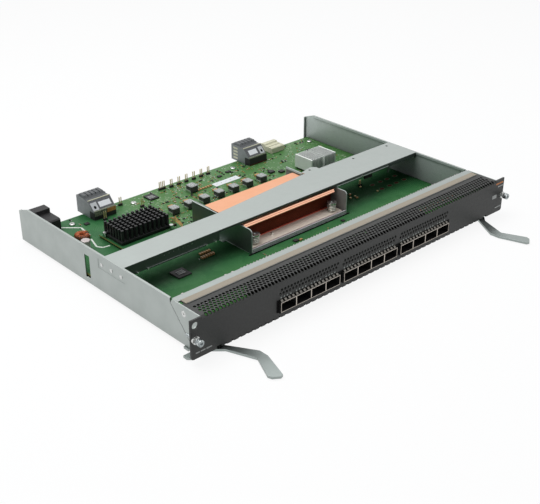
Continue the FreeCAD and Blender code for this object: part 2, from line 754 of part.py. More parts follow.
@piece
def main_board():
    half = BOARD_WIDTH / 2
    board = block(-half, half, BOARD_FRONT, BOARD_REAR, BOARD_BOTTOM, BOARD_TOP)
    holes = [
        rod(SCREW_SHANK_RADIUS, x, y, BOARD_BOTTOM - 1, BOARD_THICKNESS + 2)
        for x in SCREW_COLUMNS
        for y in (SCREW_ROW_FRONT, SCREW_ROW_REAR)
    ]
    return board.cut(group(holes))


@piece
def board_standoffs():
    return group(
        [
            rod(STANDOFF_RADIUS, x, y, FLOOR_TOP, BOARD_BOTTOM - FLOOR_TOP).cut(
                rod(SCREW_SHANK_RADIUS, x, y, BOARD_BOTTOM - SCREW_GRIP, SCREW_GRIP)
            )
            for x in SCREW_COLUMNS
            for y in (SCREW_ROW_FRONT, SCREW_ROW_REAR)
        ]
    )


@piece
def board_screws():
    def screw(x, y):
        top = BOARD_TOP + SCREW_HEAD_HEIGHT
        head = rod(SCREW_HEAD_RADIUS, x, y, BOARD_TOP, SCREW_HEAD_HEIGHT)
        head = head.makeChamfer(SCREW_HEAD_CHAMFER, [edge for edge in head.Edges if edge.CenterOfMass.z > top - 0.1])
        shank = rod(SCREW_SHANK_RADIUS, x, y, BOARD_BOTTOM - SCREW_GRIP, SCREW_GRIP + BOARD_THICKNESS)
        drive = hexagon(SCREW_DRIVE, x, y, "z", top - SCREW_HEAD_HEIGHT / 2, SCREW_HEAD_HEIGHT)
        return join([head, shank]).cut(drive)

    return group([screw(x, y) for x in SCREW_COLUMNS for y in (SCREW_ROW_FRONT, SCREW_ROW_REAR)])


def port_cage(left):
    """Four sockets side by side in one folded sheet cage."""
    rear = CAGE_DEPTH - CAGE_PROUD
    shell = block(left, left + CAGE_WIDTH, -CAGE_PROUD, rear, BOARD_TOP, CAGE_TOP)
    sockets = []
    for port in range(PORTS_PER_CAGE):
        x0 = left + port * PORT_PITCH + CAGE_SHEET
        x1 = left + (port + 1) * PORT_PITCH - CAGE_SHEET
        z0, z1 = BOARD_TOP + CAGE_SHEET, CAGE_TOP - CAGE_SHEET
        sockets.append(block(x0, x1, -CAGE_PROUD - 1, rear - CAGE_SHEET, z0, z1))
    return shell.cut(group(sockets))


def socket_blocks(left):
    """The black contact block at the back of each socket, with its card slot."""
    solids = []
    rear = CAGE_DEPTH - CAGE_PROUD - CAGE_SHEET
    front = SOCKET_DEPTH - CAGE_PROUD
    z0, z1 = BOARD_TOP + CAGE_SHEET, CAGE_TOP - CAGE_SHEET
    middle = (z0 + z1) / 2
    for port in range(PORTS_PER_CAGE):
        x0 = left + port * PORT_PITCH + CAGE_SHEET
        x1 = left + (port + 1) * PORT_PITCH - CAGE_SHEET
        body = block(x0, x1, front, rear, z0, z1)
        slot = block(x0 + 1.5, x1 - 1.5, front - 1, front + 6, middle - 0.8, middle + 0.8)
        solids.append(body.cut(slot))
    return group(solids)


def cage_fingers(left):
    """Spring fingers that rise from a strip at the cage's rim to the window's upper edge."""
    front = -CAGE_PROUD + FINGER_STRIP
    top = CAGE_TOP + FINGER_HEIGHT
    side = [
        (front - FINGER_STRIP / 2, CAGE_TOP),
        (front + FINGER_SHEET, CAGE_TOP),
        (-FINGER_CLEARANCE, top - FINGER_SHEET),
        (-FINGER_CLEARANCE, top),
    ]
    pitch = PORT_PITCH / FINGERS_PER_PORT
    fingers = [block(left, left + CAGE_WIDTH, -CAGE_PROUD, front, CAGE_TOP, CAGE_TOP + FINGER_SHEET)]
    for k in range(PORTS_PER_CAGE * FINGERS_PER_PORT):
        start = left + (k + 0.5) * pitch - FINGER_WIDTH / 2
        fingers.append(prism(side, "x", start, FINGER_WIDTH))
    return join(fingers)


for label, cage_left in zip(("left", "middle", "right"), CAGE_LEFTS):
    PIECES["port_cage_" + label] = port_cage(cage_left)
PIECES["socket_blocks"] = group([solid for left in CAGE_LEFTS for solid in socket_blocks(left).Solids])
PIECES["cage_fingers"] = group([cage_fingers(left) for left in CAGE_LEFTS])


@piece
def window_gasket():
    """A black conductive gasket that fills the window round the three cages."""
    left = CAGE_LEFTS[0] - WINDOW_MARGIN
    right = CAGE_LEFTS[-1] + CAGE_WIDTH + WINDOW_MARGIN
    frame = block(left, right, GASKET_SETBACK, PANEL_SHEET, WINDOW_BOTTOM, WINDOW_TOP)
    outer = COLLAR_CLEARANCE + COLLAR_WIDTH
    collars = [
        block(x - outer, x + CAGE_WIDTH + outer, -COLLAR_PROUD, PANEL_SHEET, WINDOW_BOTTOM, CAGE_TOP)
        for x in CAGE_LEFTS
    ]
    cuts = [
        block(
            x - COLLAR_CLEARANCE,
            x + CAGE_WIDTH + COLLAR_CLEARANCE,
            -COLLAR_PROUD - 1,
            PANEL_SHEET + 1,
            BOARD_TOP - COLLAR_CLEARANCE,
            CAGE_TOP + 1,
        )
        for x in CAGE_LEFTS
    ]
    fingers = block(left, right, -COLLAR_PROUD, 0, CAGE_TOP, WINDOW_TOP)
    ceiling = block(left, right, GASKET_SETBACK, PANEL_SHEET, CAGE_TOP, WINDOW_TOP)
    return join([join([frame] + collars).cut(group(cuts)).cut(fingers), ceiling])


@piece
def indicator_lenses():
    return group([hexagon(LENS_RADIUS, x, LENS_Z, "y", -LENS_PROUD, LENS_LENGTH) for x in lens_places()])


@piece
def cross_brace():
    """A top plate with its webs and end flanges; each meets the plate's underside face to face."""
    half = HEM_INNER
    under = TRAY_TOP - SHEET
    tab_right = BRACE_TAB_LEFT + BRACE_TAB_WIDTH
    tab_rear = BRACE_REAR_RIGHT + BRACE_TAB_DEPTH
    outline = [
        (-half, BRACE_FRONT),
        (half, BRACE_FRONT),
        (half, BRACE_REAR_RIGHT),
        (tab_right, BRACE_REAR_RIGHT),
        (tab_right, tab_rear - BRACE_TAB_CORNER),
        (tab_right - BRACE_TAB_CORNER, tab_rear),
        (BRACE_TAB_LEFT + 4 * BRACE_TAB_CORNER, tab_rear),
        (BRACE_TAB_LEFT, tab_rear - BRACE_TAB_CORNER),
        (BRACE_TAB_LEFT, BRACE_REAR_RIGHT),
        (BRACE_SLANT_END, BRACE_REAR_RIGHT),
        (BRACE_SLANT_START, BRACE_REAR_LEFT),
        (-half, BRACE_REAR_LEFT),
    ]
    top = prism(outline, "z", under, SHEET)

    def web(x0, x1, height):
        return block(x0, x1, BRACE_FRONT, BRACE_FRONT + SHEET, TRAY_TOP - height, under)

    def end_flange(x0, rear):
        return block(x0, x0 + SHEET, BRACE_FRONT + SHEET, rear - 2, TRAY_TOP - BRACE_END_FLANGE, under)

    web_foot = TRAY_TOP - BRACE_WEB_LEFT_HEIGHT
    foot_lip = block(
        BRACE_LIP_LEFT, BRACE_LIP_RIGHT, BRACE_FRONT - BRACE_LIP_DEPTH, BRACE_FRONT, web_foot, web_foot + SHEET
    )
    folds = [
        web(BRACE_WEB_LEFT_END, BRACE_WEB_RIGHT_START, BRACE_WEB_MIDDLE_HEIGHT),
        web(BRACE_WEB_RIGHT_START, half, BRACE_WEB_RIGHT_HEIGHT),
        end_flange(-half, BRACE_REAR_LEFT),
        end_flange(half - SHEET, BRACE_REAR_RIGHT),
    ]
    left_web = join([web(-half, BRACE_WEB_LEFT_END, BRACE_WEB_LEFT_HEIGHT), foot_lip])
    hole_places = (
        (BRACE_TAB_LEFT + BRACE_TAB_WIDTH / 2, BRACE_REAR_RIGHT + BRACE_TAB_CORNER),
        (BRACE_HOLE_MIDDLE, BRACE_REAR_RIGHT - BRACE_HOLE_INSET),
        (half - BRACE_HOLE_SIDE, BRACE_REAR_RIGHT - BRACE_HOLE_INSET),
    )
    holes = [rod(BRACE_HOLE_RADIUS, x, y, under - 1, SHEET + 2) for x, y in hole_places]
    web_holes = []
    for k in range(BRACE_WEB_HOLES):
        x = BRACE_WEB_HOLE_START + k * BRACE_WEB_HOLE_PITCH
        web_holes.append(hexagon(0.8, x, TRAY_TOP - 3.4, "y", BRACE_FRONT - 1, SHEET + 2))
    return group([top.cut(group(holes)), left_web.cut(group(web_holes))] + folds)


COOLER_LEFT = COOLER_X - COOLER_WIDTH / 2
COOLER_RIGHT = COOLER_X + COOLER_WIDTH / 2
BAFFLE_INNER_LEFT = COOLER_X - BAFFLE_SPACING / 2
BAFFLE_INNER_RIGHT = COOLER_X + BAFFLE_SPACING / 2
SPRING_SCREW_PLACES = [
    (COOLER_X + side * SPRING_SCREW_SPREAD, y)
    for side in (-1, 1)
    for y in (COLD_PLATE_FRONT + SPRING_SCREW_INSET, COLD_PLATE_REAR - SPRING_SCREW_INSET)
]


@piece
def heatsink_fins():
    """A stack of thin copper fins on a common foot, drawn as one comb."""
    foot = COLD_PLATE_TOP + 0.8
    top = COOLER_TOP - COVER_SHEET
    count = int(COOLER_WIDTH / FIN_PITCH)
    first = COOLER_X - FIN_PITCH * (count - 1) / 2
    outline = [
        (COOLER_RIGHT, foot),
        (COOLER_RIGHT, COLD_PLATE_TOP),
        (COOLER_LEFT, COLD_PLATE_TOP),
        (COOLER_LEFT, foot),
    ]
    for k in range(count):
        x = first + k * FIN_PITCH
        outline += [
            (x - FIN_SHEET / 2, foot),
            (x - FIN_SHEET / 2, top),
            (x + FIN_SHEET / 2, top),
            (x + FIN_SHEET / 2, foot),
        ]
    front = COOLER_FRONT + FIN_SETBACK
    return prism(outline, "y", front, COOLER_REAR - 1 - front)


@piece
def heatsink_cover():
    """A copper lid with a deeper front lip and two fine grooves along it."""
    sheet = block(COOLER_LEFT, COOLER_RIGHT, COOLER_FRONT, COOLER_REAR, COOLER_TOP - COVER_SHEET, COOLER_TOP)
    lip_rear = COOLER_FRONT + COVER_LIP_DEPTH
    lip = block(COOLER_LEFT, COOLER_RIGHT, COOLER_FRONT, lip_rear, COOLER_TOP - COVER_LIP_HEIGHT, COOLER_TOP)
    grooves = []
    for k in (1, 2):
        z = COOLER_TOP - k * COVER_GROOVE_PITCH
        grooves.append(
            block(
                COOLER_LEFT - 1, COOLER_RIGHT + 1, COOLER_FRONT - 1, COOLER_FRONT + COVER_GROOVE, z - COVER_GROOVE, z
            )
        )
    return join([sheet, lip]).cut(group(grooves))


@piece
def cold_plate():
    half = COLD_PLATE_WIDTH / 2
    plate = block(
        COOLER_X - half, COOLER_X + half, COLD_PLATE_FRONT, COLD_PLATE_REAR, COLD_PLATE_BOTTOM, COLD_PLATE_TOP
    )
    holes = [
        rod(SPRING_SCREW_SHANK_RADIUS, x, y, COLD_PLATE_BOTTOM - 1, COLD_PLATE_TOP - COLD_PLATE_BOTTOM + 2)
        for x, y in SPRING_SCREW_PLACES
    ]
    return plate.cut(group(holes))


@piece
def switch_chip():
    half = SWITCH_CHIP_SIZE / 2
    y = (COOLER_FRONT + COOLER_REAR) / 2
    return block(COOLER_X - half, COOLER_X + half, y - half, y + half, BOARD_TOP, COLD_PLATE_BOTTOM)


@piece
def spring_screws():
    top = COLD_PLATE_TOP + SPRING_SCREW_HEIGHT
    solids = []
    for x, y in SPRING_SCREW_PLACES:
        head = rod(SPRING_SCREW_HEAD_RADIUS, x, y, top - SPRING_SCREW_HEAD_HEIGHT, SPRING_SCREW_HEAD_HEIGHT)
        shank = rod(SPRING_SCREW_SHANK_RADIUS, x, y, BOARD_TOP, top - BOARD_TOP)
        drive = hexagon(1.4, x, y, "z", top - 0.9, 2)
        solids.append(join([head, shank]).cut(drive))
    return group(solids)


@piece
def screw_coils():
    height = SPRING_SCREW_HEIGHT - SPRING_SCREW_HEAD_HEIGHT
    radius = SPRING_SCREW_HEAD_RADIUS - SPRING_WIRE_RADIUS - SPRING_INSET
    return group(
        [
            coil(radius, SPRING_WIRE_RADIUS, SPRING_TURNS, height, x, y, COLD_PLATE_TOP)
            for x, y in SPRING_SCREW_PLACES
        ]
    )


def baffle(inner, outward):
    """An air baffle beside the cooler; its rounded corner faces the ports."""
    outline_block = block(0, SHEET, BAFFLE_FRONT, BAFFLE_REAR, BOARD_TOP, BAFFLE_TOP)
    plate = round_edges(
        outline_block, BAFFLE_CORNER_RADIUS, "x", lambda p: p.y < BAFFLE_FRONT + 1 and p.z > BAFFLE_TOP - 1
    )
    lip = block(-BAFFLE_LIP, SHEET, BAFFLE_REAR - 30, BAFFLE_REAR - 2, BAFFLE_TOP - SHEET, BAFFLE_TOP)
    foot = block(0, 6, BAFFLE_REAR - 60, BAFFLE_REAR - 46, BOARD_TOP, BOARD_TOP + SHEET)
    shape = join([plate, lip, foot])
    if outward < 0:
        shape = mirrored(shape)
    shape.translate(V(inner, 0, 0))
    return shape


PIECES["air_baffles"] = group([baffle(BAFFLE_INNER_LEFT, -1), baffle(BAFFLE_INNER_RIGHT, 1)])


@piece
def duct_sill():
    """A low bar with upright ribs on its front, between the two baffles."""
    front = BAFFLE_FRONT + SILL_RIB_DEPTH
    rear = BAFFLE_FRONT + SILL_DEPTH
    count = int(BAFFLE_SPACING / SILL_RIB_PITCH)
    first = COOLER_X - SILL_RIB_PITCH * (count - 1) / 2
    left_end, right_end = BAFFLE_INNER_LEFT, BAFFLE_INNER_RIGHT
    outline = [(right_end, front), (right_end, rear), (left_end, rear), (left_end, front)]
    for k in range(count):
        left = first + k * SILL_RIB_PITCH - SILL_RIB_WIDTH / 2
        right = left + SILL_RIB_WIDTH
        outline += [(left, front), (left, BAFFLE_FRONT), (right, BAFFLE_FRONT), (right, front)]
    return prism(outline, "z", BOARD_TOP, SILL_HEIGHT)


CARD_TOP = CARD_BOTTOM + CARD_THICKNESS
PIN_COOLER_BOTTOM = CARD_TOP + PROCESSOR_HEIGHT
PIN_COOLER_WIDTH = PIN_PITCH_X * PIN_COLUMNS
PIN_COOLER_DEPTH = PIN_PITCH_Y * PIN_ROWS


@piece
def processor_card():
    return block(
        CARD_LEFT, CARD_LEFT + CARD_WIDTH, CARD_FRONT, CARD_FRONT + CARD_DEPTH, CARD_BOTTOM, CARD_TOP
    )


@piece
def card_connectors():
    """Two low board-to-board strips under the processor card."""
    x0, x1 = CARD_LEFT + 8, CARD_LEFT + CARD_WIDTH - 8
    rear = CARD_FRONT + CARD_DEPTH
    return group(
        [
            block(x0, x1, CARD_FRONT + 2, CARD_FRONT + 7, BOARD_TOP, CARD_BOTTOM),
            block(x0, x1, rear - 7, rear - 2, BOARD_TOP, CARD_BOTTOM),
        ]
    )


@piece
def processor_chip():
    x = PIN_COOLER_LEFT + PIN_COOLER_WIDTH / 2
    y = PIN_COOLER_FRONT + PIN_COOLER_DEPTH / 2
    half = PROCESSOR_SIZE / 2
    return block(x - half, x + half, y - half, y + half, CARD_TOP, PIN_COOLER_BOTTOM)


@piece
def pin_cooler():
    x1 = PIN_COOLER_LEFT + PIN_COOLER_WIDTH
    y1 = PIN_COOLER_FRONT + PIN_COOLER_DEPTH
    plate_top = PIN_COOLER_BOTTOM + PIN_COOLER_BASE
    plate = block(PIN_COOLER_LEFT, x1, PIN_COOLER_FRONT, y1, PIN_COOLER_BOTTOM, plate_top)
    full = block(PIN_COOLER_LEFT, x1, PIN_COOLER_FRONT, y1, plate_top, PIN_COOLER_TOP)
    cuts = []
    for k in range(PIN_COLUMNS + 1):
        x = PIN_COOLER_LEFT + k * PIN_PITCH_X
        half = (PIN_PITCH_X - PIN_SIZE) / 2
        cuts.append(block(x - half, x + half, PIN_COOLER_FRONT - 1, y1 + 1, plate_top, PIN_COOLER_TOP + 1))
    for k in range(PIN_ROWS + 1):
        y = PIN_COOLER_FRONT + k * PIN_PITCH_Y
        half = (PIN_PITCH_Y - PIN_SIZE) / 2
        cuts.append(block(PIN_COOLER_LEFT - 1, x1 + 1, y - half, y + half, plate_top, PIN_COOLER_TOP + 1))
    pins = full.cut(group(cuts))
    return join([plate] + pins.Solids)


@piece
def push_pins():
    """Two sprung pins on opposite corners that hold the pin cooler to the card."""
    x0, y1 = PIN_COOLER_LEFT, PIN_COOLER_FRONT + PIN_COOLER_DEPTH
    x1, y0 = x0 + PIN_COOLER_WIDTH, PIN_COOLER_FRONT
    solids = []
    for x, y in ((x0 - 0.5, y1 - 6), (x1 - 2, y0 - 3.5)):
        post = rod(PUSH_PIN_RADIUS * 0.5, x, y, CARD_TOP, 4.5)
        head = rod(PUSH_PIN_RADIUS, x, y, CARD_TOP + 4.5, 1.6)
        solids.append(join([post, head]))
    return group([solid.cut(PIECES["pin_cooler"]) for solid in solids])


@piece
def plate_cooler():
    x1 = PLATE_COOLER_LEFT + PLATE_COOLER_WIDTH
    y1 = PLATE_COOLER_FRONT + PLATE_COOLER_DEPTH
    bottom = BOARD_TOP + FABRIC_CHIP_HEIGHT
    body = block(PLATE_COOLER_LEFT, x1, PLATE_COOLER_FRONT, y1, bottom, PLATE_COOLER_TOP)
    floor = bottom + PLATE_COOLER_BASE
    middle = (PLATE_COOLER_LEFT + x1) / 2
    half_gap = PLATE_COOLER_GAP / 2
    cuts = [block(middle - half_gap, middle + half_gap, PLATE_COOLER_FRONT - 1, y1 + 1, floor, PLATE_COOLER_TOP + 1)]
    count = int((PLATE_COOLER_WIDTH / 2 - half_gap - PLATE_FIN_SHEET) / PLATE_FIN_PITCH)
    for k in range(count):
        near = middle + half_gap + PLATE_FIN_SHEET + k * PLATE_FIN_PITCH
        far = near + PLATE_FIN_PITCH - PLATE_FIN_SHEET
        cuts.append(block(near, far, PLATE_COOLER_FRONT - 1, y1 + 1, floor, PLATE_COOLER_TOP + 1))
        near, far = 2 * middle - far, 2 * middle - near
        cuts.append(block(near, far, PLATE_COOLER_FRONT - 1, y1 + 1, floor, PLATE_COOLER_TOP + 1))
    return body.cut(group(cuts))


@piece
def fabric_chip():
    x = PLATE_COOLER_LEFT + PLATE_COOLER_WIDTH / 2
    y = PLATE_COOLER_FRONT + PLATE_COOLER_DEPTH / 2
    half = FABRIC_CHIP_SIZE / 2
    return block(x - half, x + half, y - half, y + half, BOARD_TOP, BOARD_TOP + FABRIC_CHIP_HEIGHT)


def backplane_connector(left, windows):
    """A grey signal connector that overhangs the board's rear edge, with ribs on its roof."""
    foot_top = BOARD_TOP + BACKPLANE_FOOT_HEIGHT
    roof = BACKPLANE_TOP - BACKPLANE_STEP
    outline = [
        (BACKPLANE_FRONT + BACKPLANE_FOOT_DEPTH, BOARD_TOP),
        (BACKPLANE_FRONT + BACKPLANE_FOOT_DEPTH, foot_top),
        (BACKPLANE_FRONT, foot_top),
        (BACKPLANE_FRONT + 2.5, foot_top + 1.6),
        (BACKPLANE_FRONT + 10, roof - 1.5),
        (BACKPLANE_FRONT + 11.5, roof),
        (BACKPLANE_RIB_FRONT - BACKPLANE_STEP, roof),
        (BACKPLANE_RIB_FRONT, BACKPLANE_TOP),
        (BACKPLANE_REAR, BACKPLANE_TOP),
        (BACKPLANE_REAR, BOARD_TOP),
    ]
    solids = [prism(outline, "x", left, BACKPLANE_WIDTH)]
    pitch = (BACKPLANE_WIDTH - 3) / BACKPLANE_RIBS
    for k in range(BACKPLANE_RIBS):
        x0 = left + 1.5 + (k + 0.12) * pitch
        top = BACKPLANE_TOP + BACKPLANE_RIB_HEIGHT
        rib = [
            (BACKPLANE_RIB_FRONT, BACKPLANE_TOP),
            (BACKPLANE_RIB_FRONT + 2, top),
            (BACKPLANE_REAR - 4, top),
            (BACKPLANE_REAR - 1.5, BACKPLANE_TOP),
        ]
        solids.append(prism(rib, "x", x0, 0.76 * pitch))
    shape = join(solids)
    if windows:
        shape = shape.cut(group([wafer(left, k) for k in range(WAFER_COUNT)]))
    return shape


def wafer(left, index):
    z = BOARD_TOP + 2.6 + index * WAFER_PITCH
    rear = BACKPLANE_REAR - WAFER_REAR_INSET
    return block(left, left + WAFER_DEPTH, rear - WAFER_WIDTH, rear, z, z + WAFER_HEIGHT)


PIECES["backplane_connector_left"] = backplane_connector(BACKPLANE_LEFT_X, False)
PIECES["backplane_connector_right"] = backplane_connector(BACKPLANE_RIGHT_X, True)


@piece
def connector_wafers():
    return group([wafer(BACKPLANE_RIGHT_X, k) for k in range(WAFER_COUNT)])


@piece
def connector_feet():
    rear = BACKPLANE_FRONT + BACKPLANE_FOOT_DEPTH
    top = BOARD_TOP + BACKPLANE_FOOT_HEIGHT
    return group(
        [
            block(left, left + BACKPLANE_WIDTH, BACKPLANE_FRONT, rear, BOARD_TOP, top)
            for left in (BACKPLANE_LEFT_X, BACKPLANE_RIGHT_X)
        ]
    )


@piece
def guide_block():
    rear = GUIDE_BLOCK_FRONT + GUIDE_BLOCK_DEPTH
    ridge = rear - GUIDE_RIDGE_DEPTH
    top = BOARD_TOP + GUIDE_BLOCK_HEIGHT
    outline = [
        (GUIDE_BLOCK_FRONT, BOARD_TOP),
        (GUIDE_BLOCK_FRONT, top - 1.0),
        (GUIDE_BLOCK_FRONT + 1.0, top),
        (ridge, top),
        (ridge + 1.0, top + GUIDE_RIDGE_HEIGHT),
        (rear - 1.0, top + GUIDE_RIDGE_HEIGHT),
        (rear, top),
        (rear, BOARD_TOP),
    ]
    body = prism(outline, "x", GUIDE_BLOCK_LEFT, GUIDE_BLOCK_WIDTH)
    middle = GUIDE_BLOCK_LEFT + GUIDE_BLOCK_WIDTH / 2
    mouth = block(middle - 6, middle + 6, rear - 12, rear + 1, BOARD_TOP + 1.2, BOARD_TOP + 4.0)
    groove_front = GUIDE_BLOCK_FRONT + GUIDE_BLOCK_DEPTH / 3
    groove = block(
        GUIDE_BLOCK_LEFT - 1,
        GUIDE_BLOCK_LEFT + GUIDE_BLOCK_WIDTH + 1,
        groove_front,
        groove_front + GUIDE_GROOVE,
        top - GUIDE_GROOVE,
        top + 1,
    )
    return body.cut(group([mouth, groove]))


@piece
def power_connector():
    outline = [
        (POWER_FRONT, BOARD_TOP),
        (POWER_FRONT, POWER_LOW_TOP - 1.5),
        (POWER_FRONT + 1.5, POWER_LOW_TOP),
        (POWER_STEP, POWER_LOW_TOP),
        (POWER_STEP, POWER_HIGH_TOP),
        (POWER_REAR, POWER_HIGH_TOP),
        (POWER_REAR, BOARD_TOP),
    ]
    body = prism(outline, "x", POWER_LEFT, POWER_WIDTH)
    pitch = (POWER_WIDTH - 2) / POWER_BLADES
    blades = [
        block(x, x + 0.6 * pitch, POWER_REAR - POWER_BLADE_DEPTH, POWER_REAR + 1, BOARD_TOP + 3, POWER_HIGH_TOP - 3)
        for x in (POWER_LEFT + 2 + k * pitch for k in range(POWER_BLADES))
    ]
    return body.cut(group(blades))


def inductor_body(x, y, size, height):
    z0, z1 = BOARD_TOP + TERMINAL_HEIGHT, BOARD_TOP + height
    body = block(x - size / 2, x + size / 2, y - size / 2, y + size / 2, z0, z1)
    edges = [edge for edge in body.Edges if edge.CenterOfMass.z > z1 - 0.1]
    corners = [edge for edge in body.Edges if abs(edge.Vertexes[0].Z - edge.Vertexes[-1].Z) > 1]
    return body.makeChamfer(size * 0.08, edges + corners)


def inductor_terminals(x, y, size):
    """Two tinned strips that carry the body clear of the board and turn up at its sides."""
    half, reach, spread = size / 2, size * 0.22, size * 0.4
    strip_top = BOARD_TOP + TERMINAL_HEIGHT
    tab_top = BOARD_TOP + TERMINAL_TAB_HEIGHT
    right = join(
        [
            block(x + reach, x + half, y - spread, y + spread, BOARD_TOP, strip_top),
            block(x + half, x + half + TERMINAL_TAB, y - spread, y + spread, BOARD_TOP, tab_top),
        ]
    )
    return [right, right.mirror(V(x, 0, 0), V(1, 0, 0))]


INDUCTOR_XS = [INDUCTOR_LEFT + k * INDUCTOR_PITCH for k in range(INDUCTOR_COUNT)]


@piece
def power_inductors():
    """A row of seven and a larger one behind it."""
    solids = [inductor_body(x, INDUCTOR_Y, INDUCTOR_SIZE, INDUCTOR_HEIGHT) for x in INDUCTOR_XS]
    solids.append(inductor_body(LARGE_INDUCTOR_X, LARGE_INDUCTOR_Y, LARGE_INDUCTOR_SIZE, LARGE_INDUCTOR_HEIGHT))
    return group(solids)


@piece
def tinned_terminals():
    solids = inductor_terminals(LARGE_INDUCTOR_X, LARGE_INDUCTOR_Y, LARGE_INDUCTOR_SIZE)
    for x in INDUCTOR_XS:
        solids += inductor_terminals(x, INDUCTOR_Y, INDUCTOR_SIZE)
    return group(solids)


def part_box(x, y, width, depth, height):
    return block(x - width / 2, x + width / 2, y - depth / 2, y + depth / 2, BOARD_TOP, BOARD_TOP + height)


@piece
def ceramic_capacitors():
    """Tan ceramic parts: one behind each power inductor, a row near the ports and a few singles."""
    solids = [part_box(x + CERAMIC_OFFSET_X, INDUCTOR_Y + CERAMIC_OFFSET_Y, 7.0, 4.0, 2.0) for x in INDUCTOR_XS]
    solids += [part_box(CERAMIC_ROW_X + CERAMIC_PITCH * k, CERAMIC_ROW_Y, 2.0, 3.6, 2.2) for k in range(6)]
    singles = (
        (-5.6, 97.0, 3.4, 2.4),
        (124.8, 143.4, 2.6, 1.8),
        (124.6, 131.4, 2.6, 1.8),
        (35.0, 262.0, 6.0, 2.4),
    )
    solids += [part_box(x, y, width, depth, 1.6) for x, y, width, depth in singles]
    return group(solids)


@piece
def toroid_choke():
    """A ring choke that lies flat on the board; the ring is the wound outer form."""
    middle = BOARD_TOP + CHOKE_TUBE_RADIUS
    ring = Part.makeTorus(CHOKE_OUTER_RADIUS - CHOKE_TUBE_RADIUS, CHOKE_TUBE_RADIUS, V(CHOKE_X, CHOKE_Y, middle))
    return ring


@piece
def bulk_capacitor():
    can = rod(BULK_CAPACITOR_RADIUS, BULK_CAPACITOR_X, BULK_CAPACITOR_Y, BOARD_TOP, BULK_CAPACITOR_HEIGHT)
    top = BOARD_TOP + BULK_CAPACITOR_HEIGHT
    rim = [edge for edge in can.Edges if edge.CenterOfMass.z > top - 0.1]
    return can.makeFillet(0.8, rim)


@piece
def board_label():
    right, rear = LABEL_LEFT + LABEL_WIDTH, LABEL_FRONT + LABEL_DEPTH
    return block(LABEL_LEFT, right, LABEL_FRONT, rear, BOARD_TOP, BOARD_TOP + LABEL_THICKNESS)


HEADER_PLACES = [(HEADER_LEFT + k * HEADER_PITCH, HEADER_Y, 2) for k in range(HEADER_COUNT)]
HEADER_PLACES += [(-36.9, 315.6, 4), (-102.6, 311.9, 2), (-85.4, 290.4, 2), (-89.0, 222.8, 2), (-138.9, 290.7, 2)]


@piece
def header_bases():
    solids = []
    for x, y, pins in HEADER_PLACES:
        solids.append(part_box(x, y, HEADER_PIN_PITCH * pins, HEADER_PIN_PITCH, HEADER_BASE_HEIGHT))
    return group(solids)


@piece
def header_pins():
    base = BOARD_TOP + HEADER_BASE_HEIGHT
    half = HEADER_PIN_SIZE / 2
    solids = []
    for x, y, pins in HEADER_PLACES:
        for k in range(pins):
            px = x + (k - (pins - 1) / 2) * HEADER_PIN_PITCH
            solids.append(block(px - half, px + half, y - half, y + half, base, BOARD_TOP + HEADER_PIN_HEIGHT))
    return group(solids)


@piece
def surface_chips():
    """Flat black chips: one square package near the ports, and smaller ones round the board."""
    places = (
        (-154.4, 127.2, 17.0, 17.0, 1.6),
        (-61.6, 304.6, 13.0, 15.0, 1.8),
        (-161.5, 295.6, 5.5, 5.0, 1.5),
        (-11.5, 99.0, 6.0, 5.0, 1.6),
        (64.9, 98.5, 4.0, 4.0, 1.4),
        (42.0, 297.0, 6.0, 4.0, 1.5),
        (60.0, 301.0, 7.0, 4.0, 1.5),
        (101.0, 262.0, 8.0, 6.0, 2.2),
        (112.0, 254.0, 7.0, 6.0, 2.2),
        (190.0, 283.0, 8.0, 3.0, 2.0),
    )
    return group([part_box(*place) for place in places])


@piece
def chip_resistors():
    """Small brown parts in rows."""
    solids = [part_box(RESISTOR_ROW_X + RESISTOR_PITCH * k, RESISTOR_ROW_Y, 2.2, 3.4, 1.4) for k in range(6)]
    second_x, second_y = CERAMIC_ROW_X + RESISTOR_PITCH, CERAMIC_ROW_Y + 2 * RESISTOR_PITCH
    solids += [part_box(second_x + CERAMIC_PITCH * k, second_y, 2.0, 3.0, 2.0) for k in range(5)]
    return group(solids)


def lever_outline():
    """Corners of the right lever's arm and grip, walked along the arm's outer edge from the pivot."""
    arm = math.radians(180 + LEVER_ARM_ANGLE)
    grip = math.radians(180 + LEVER_GRIP_ANGLE)
    slant = math.radians(LEVER_TIP_SLANT)
    along = V(math.cos(arm), math.sin(arm), 0)
    across = V(-along.y, along.x, 0)
    out = V(math.cos(grip), math.sin(grip), 0)
    pivot = V(LEVER_PIVOT_X, LEVER_PIVOT_Y, LEVER_BOTTOM)
    outer_edge = pivot - across * LEVER_ARM_EDGE
    elbow = outer_edge + along * LEVER_ARM_LENGTH
    bevel = elbow - V(0, LEVER_ELBOW_BEVEL, 0)
    tip = bevel + out * LEVER_GRIP_LENGTH
    tip_side = V(math.cos(slant), math.sin(slant), 0)
    corner = tip + tip_side * LEVER_TIP_WIDTH
    return [
        outer_edge,
        elbow,
        bevel,
        tip,
        tip + out * LEVER_TIP_CORNER + tip_side * LEVER_TIP_CORNER,
        corner + out * LEVER_TIP_CORNER - tip_side * LEVER_TIP_CORNER,
        corner,
        outer_edge + along * LEVER_ELBOW_START + across * LEVER_ELBOW_WIDTH,
        outer_edge + along * LEVER_ARM_START + across * LEVER_ARM_WIDTH,
        pivot + across * LEVER_ROOT_RADIUS,
    ]


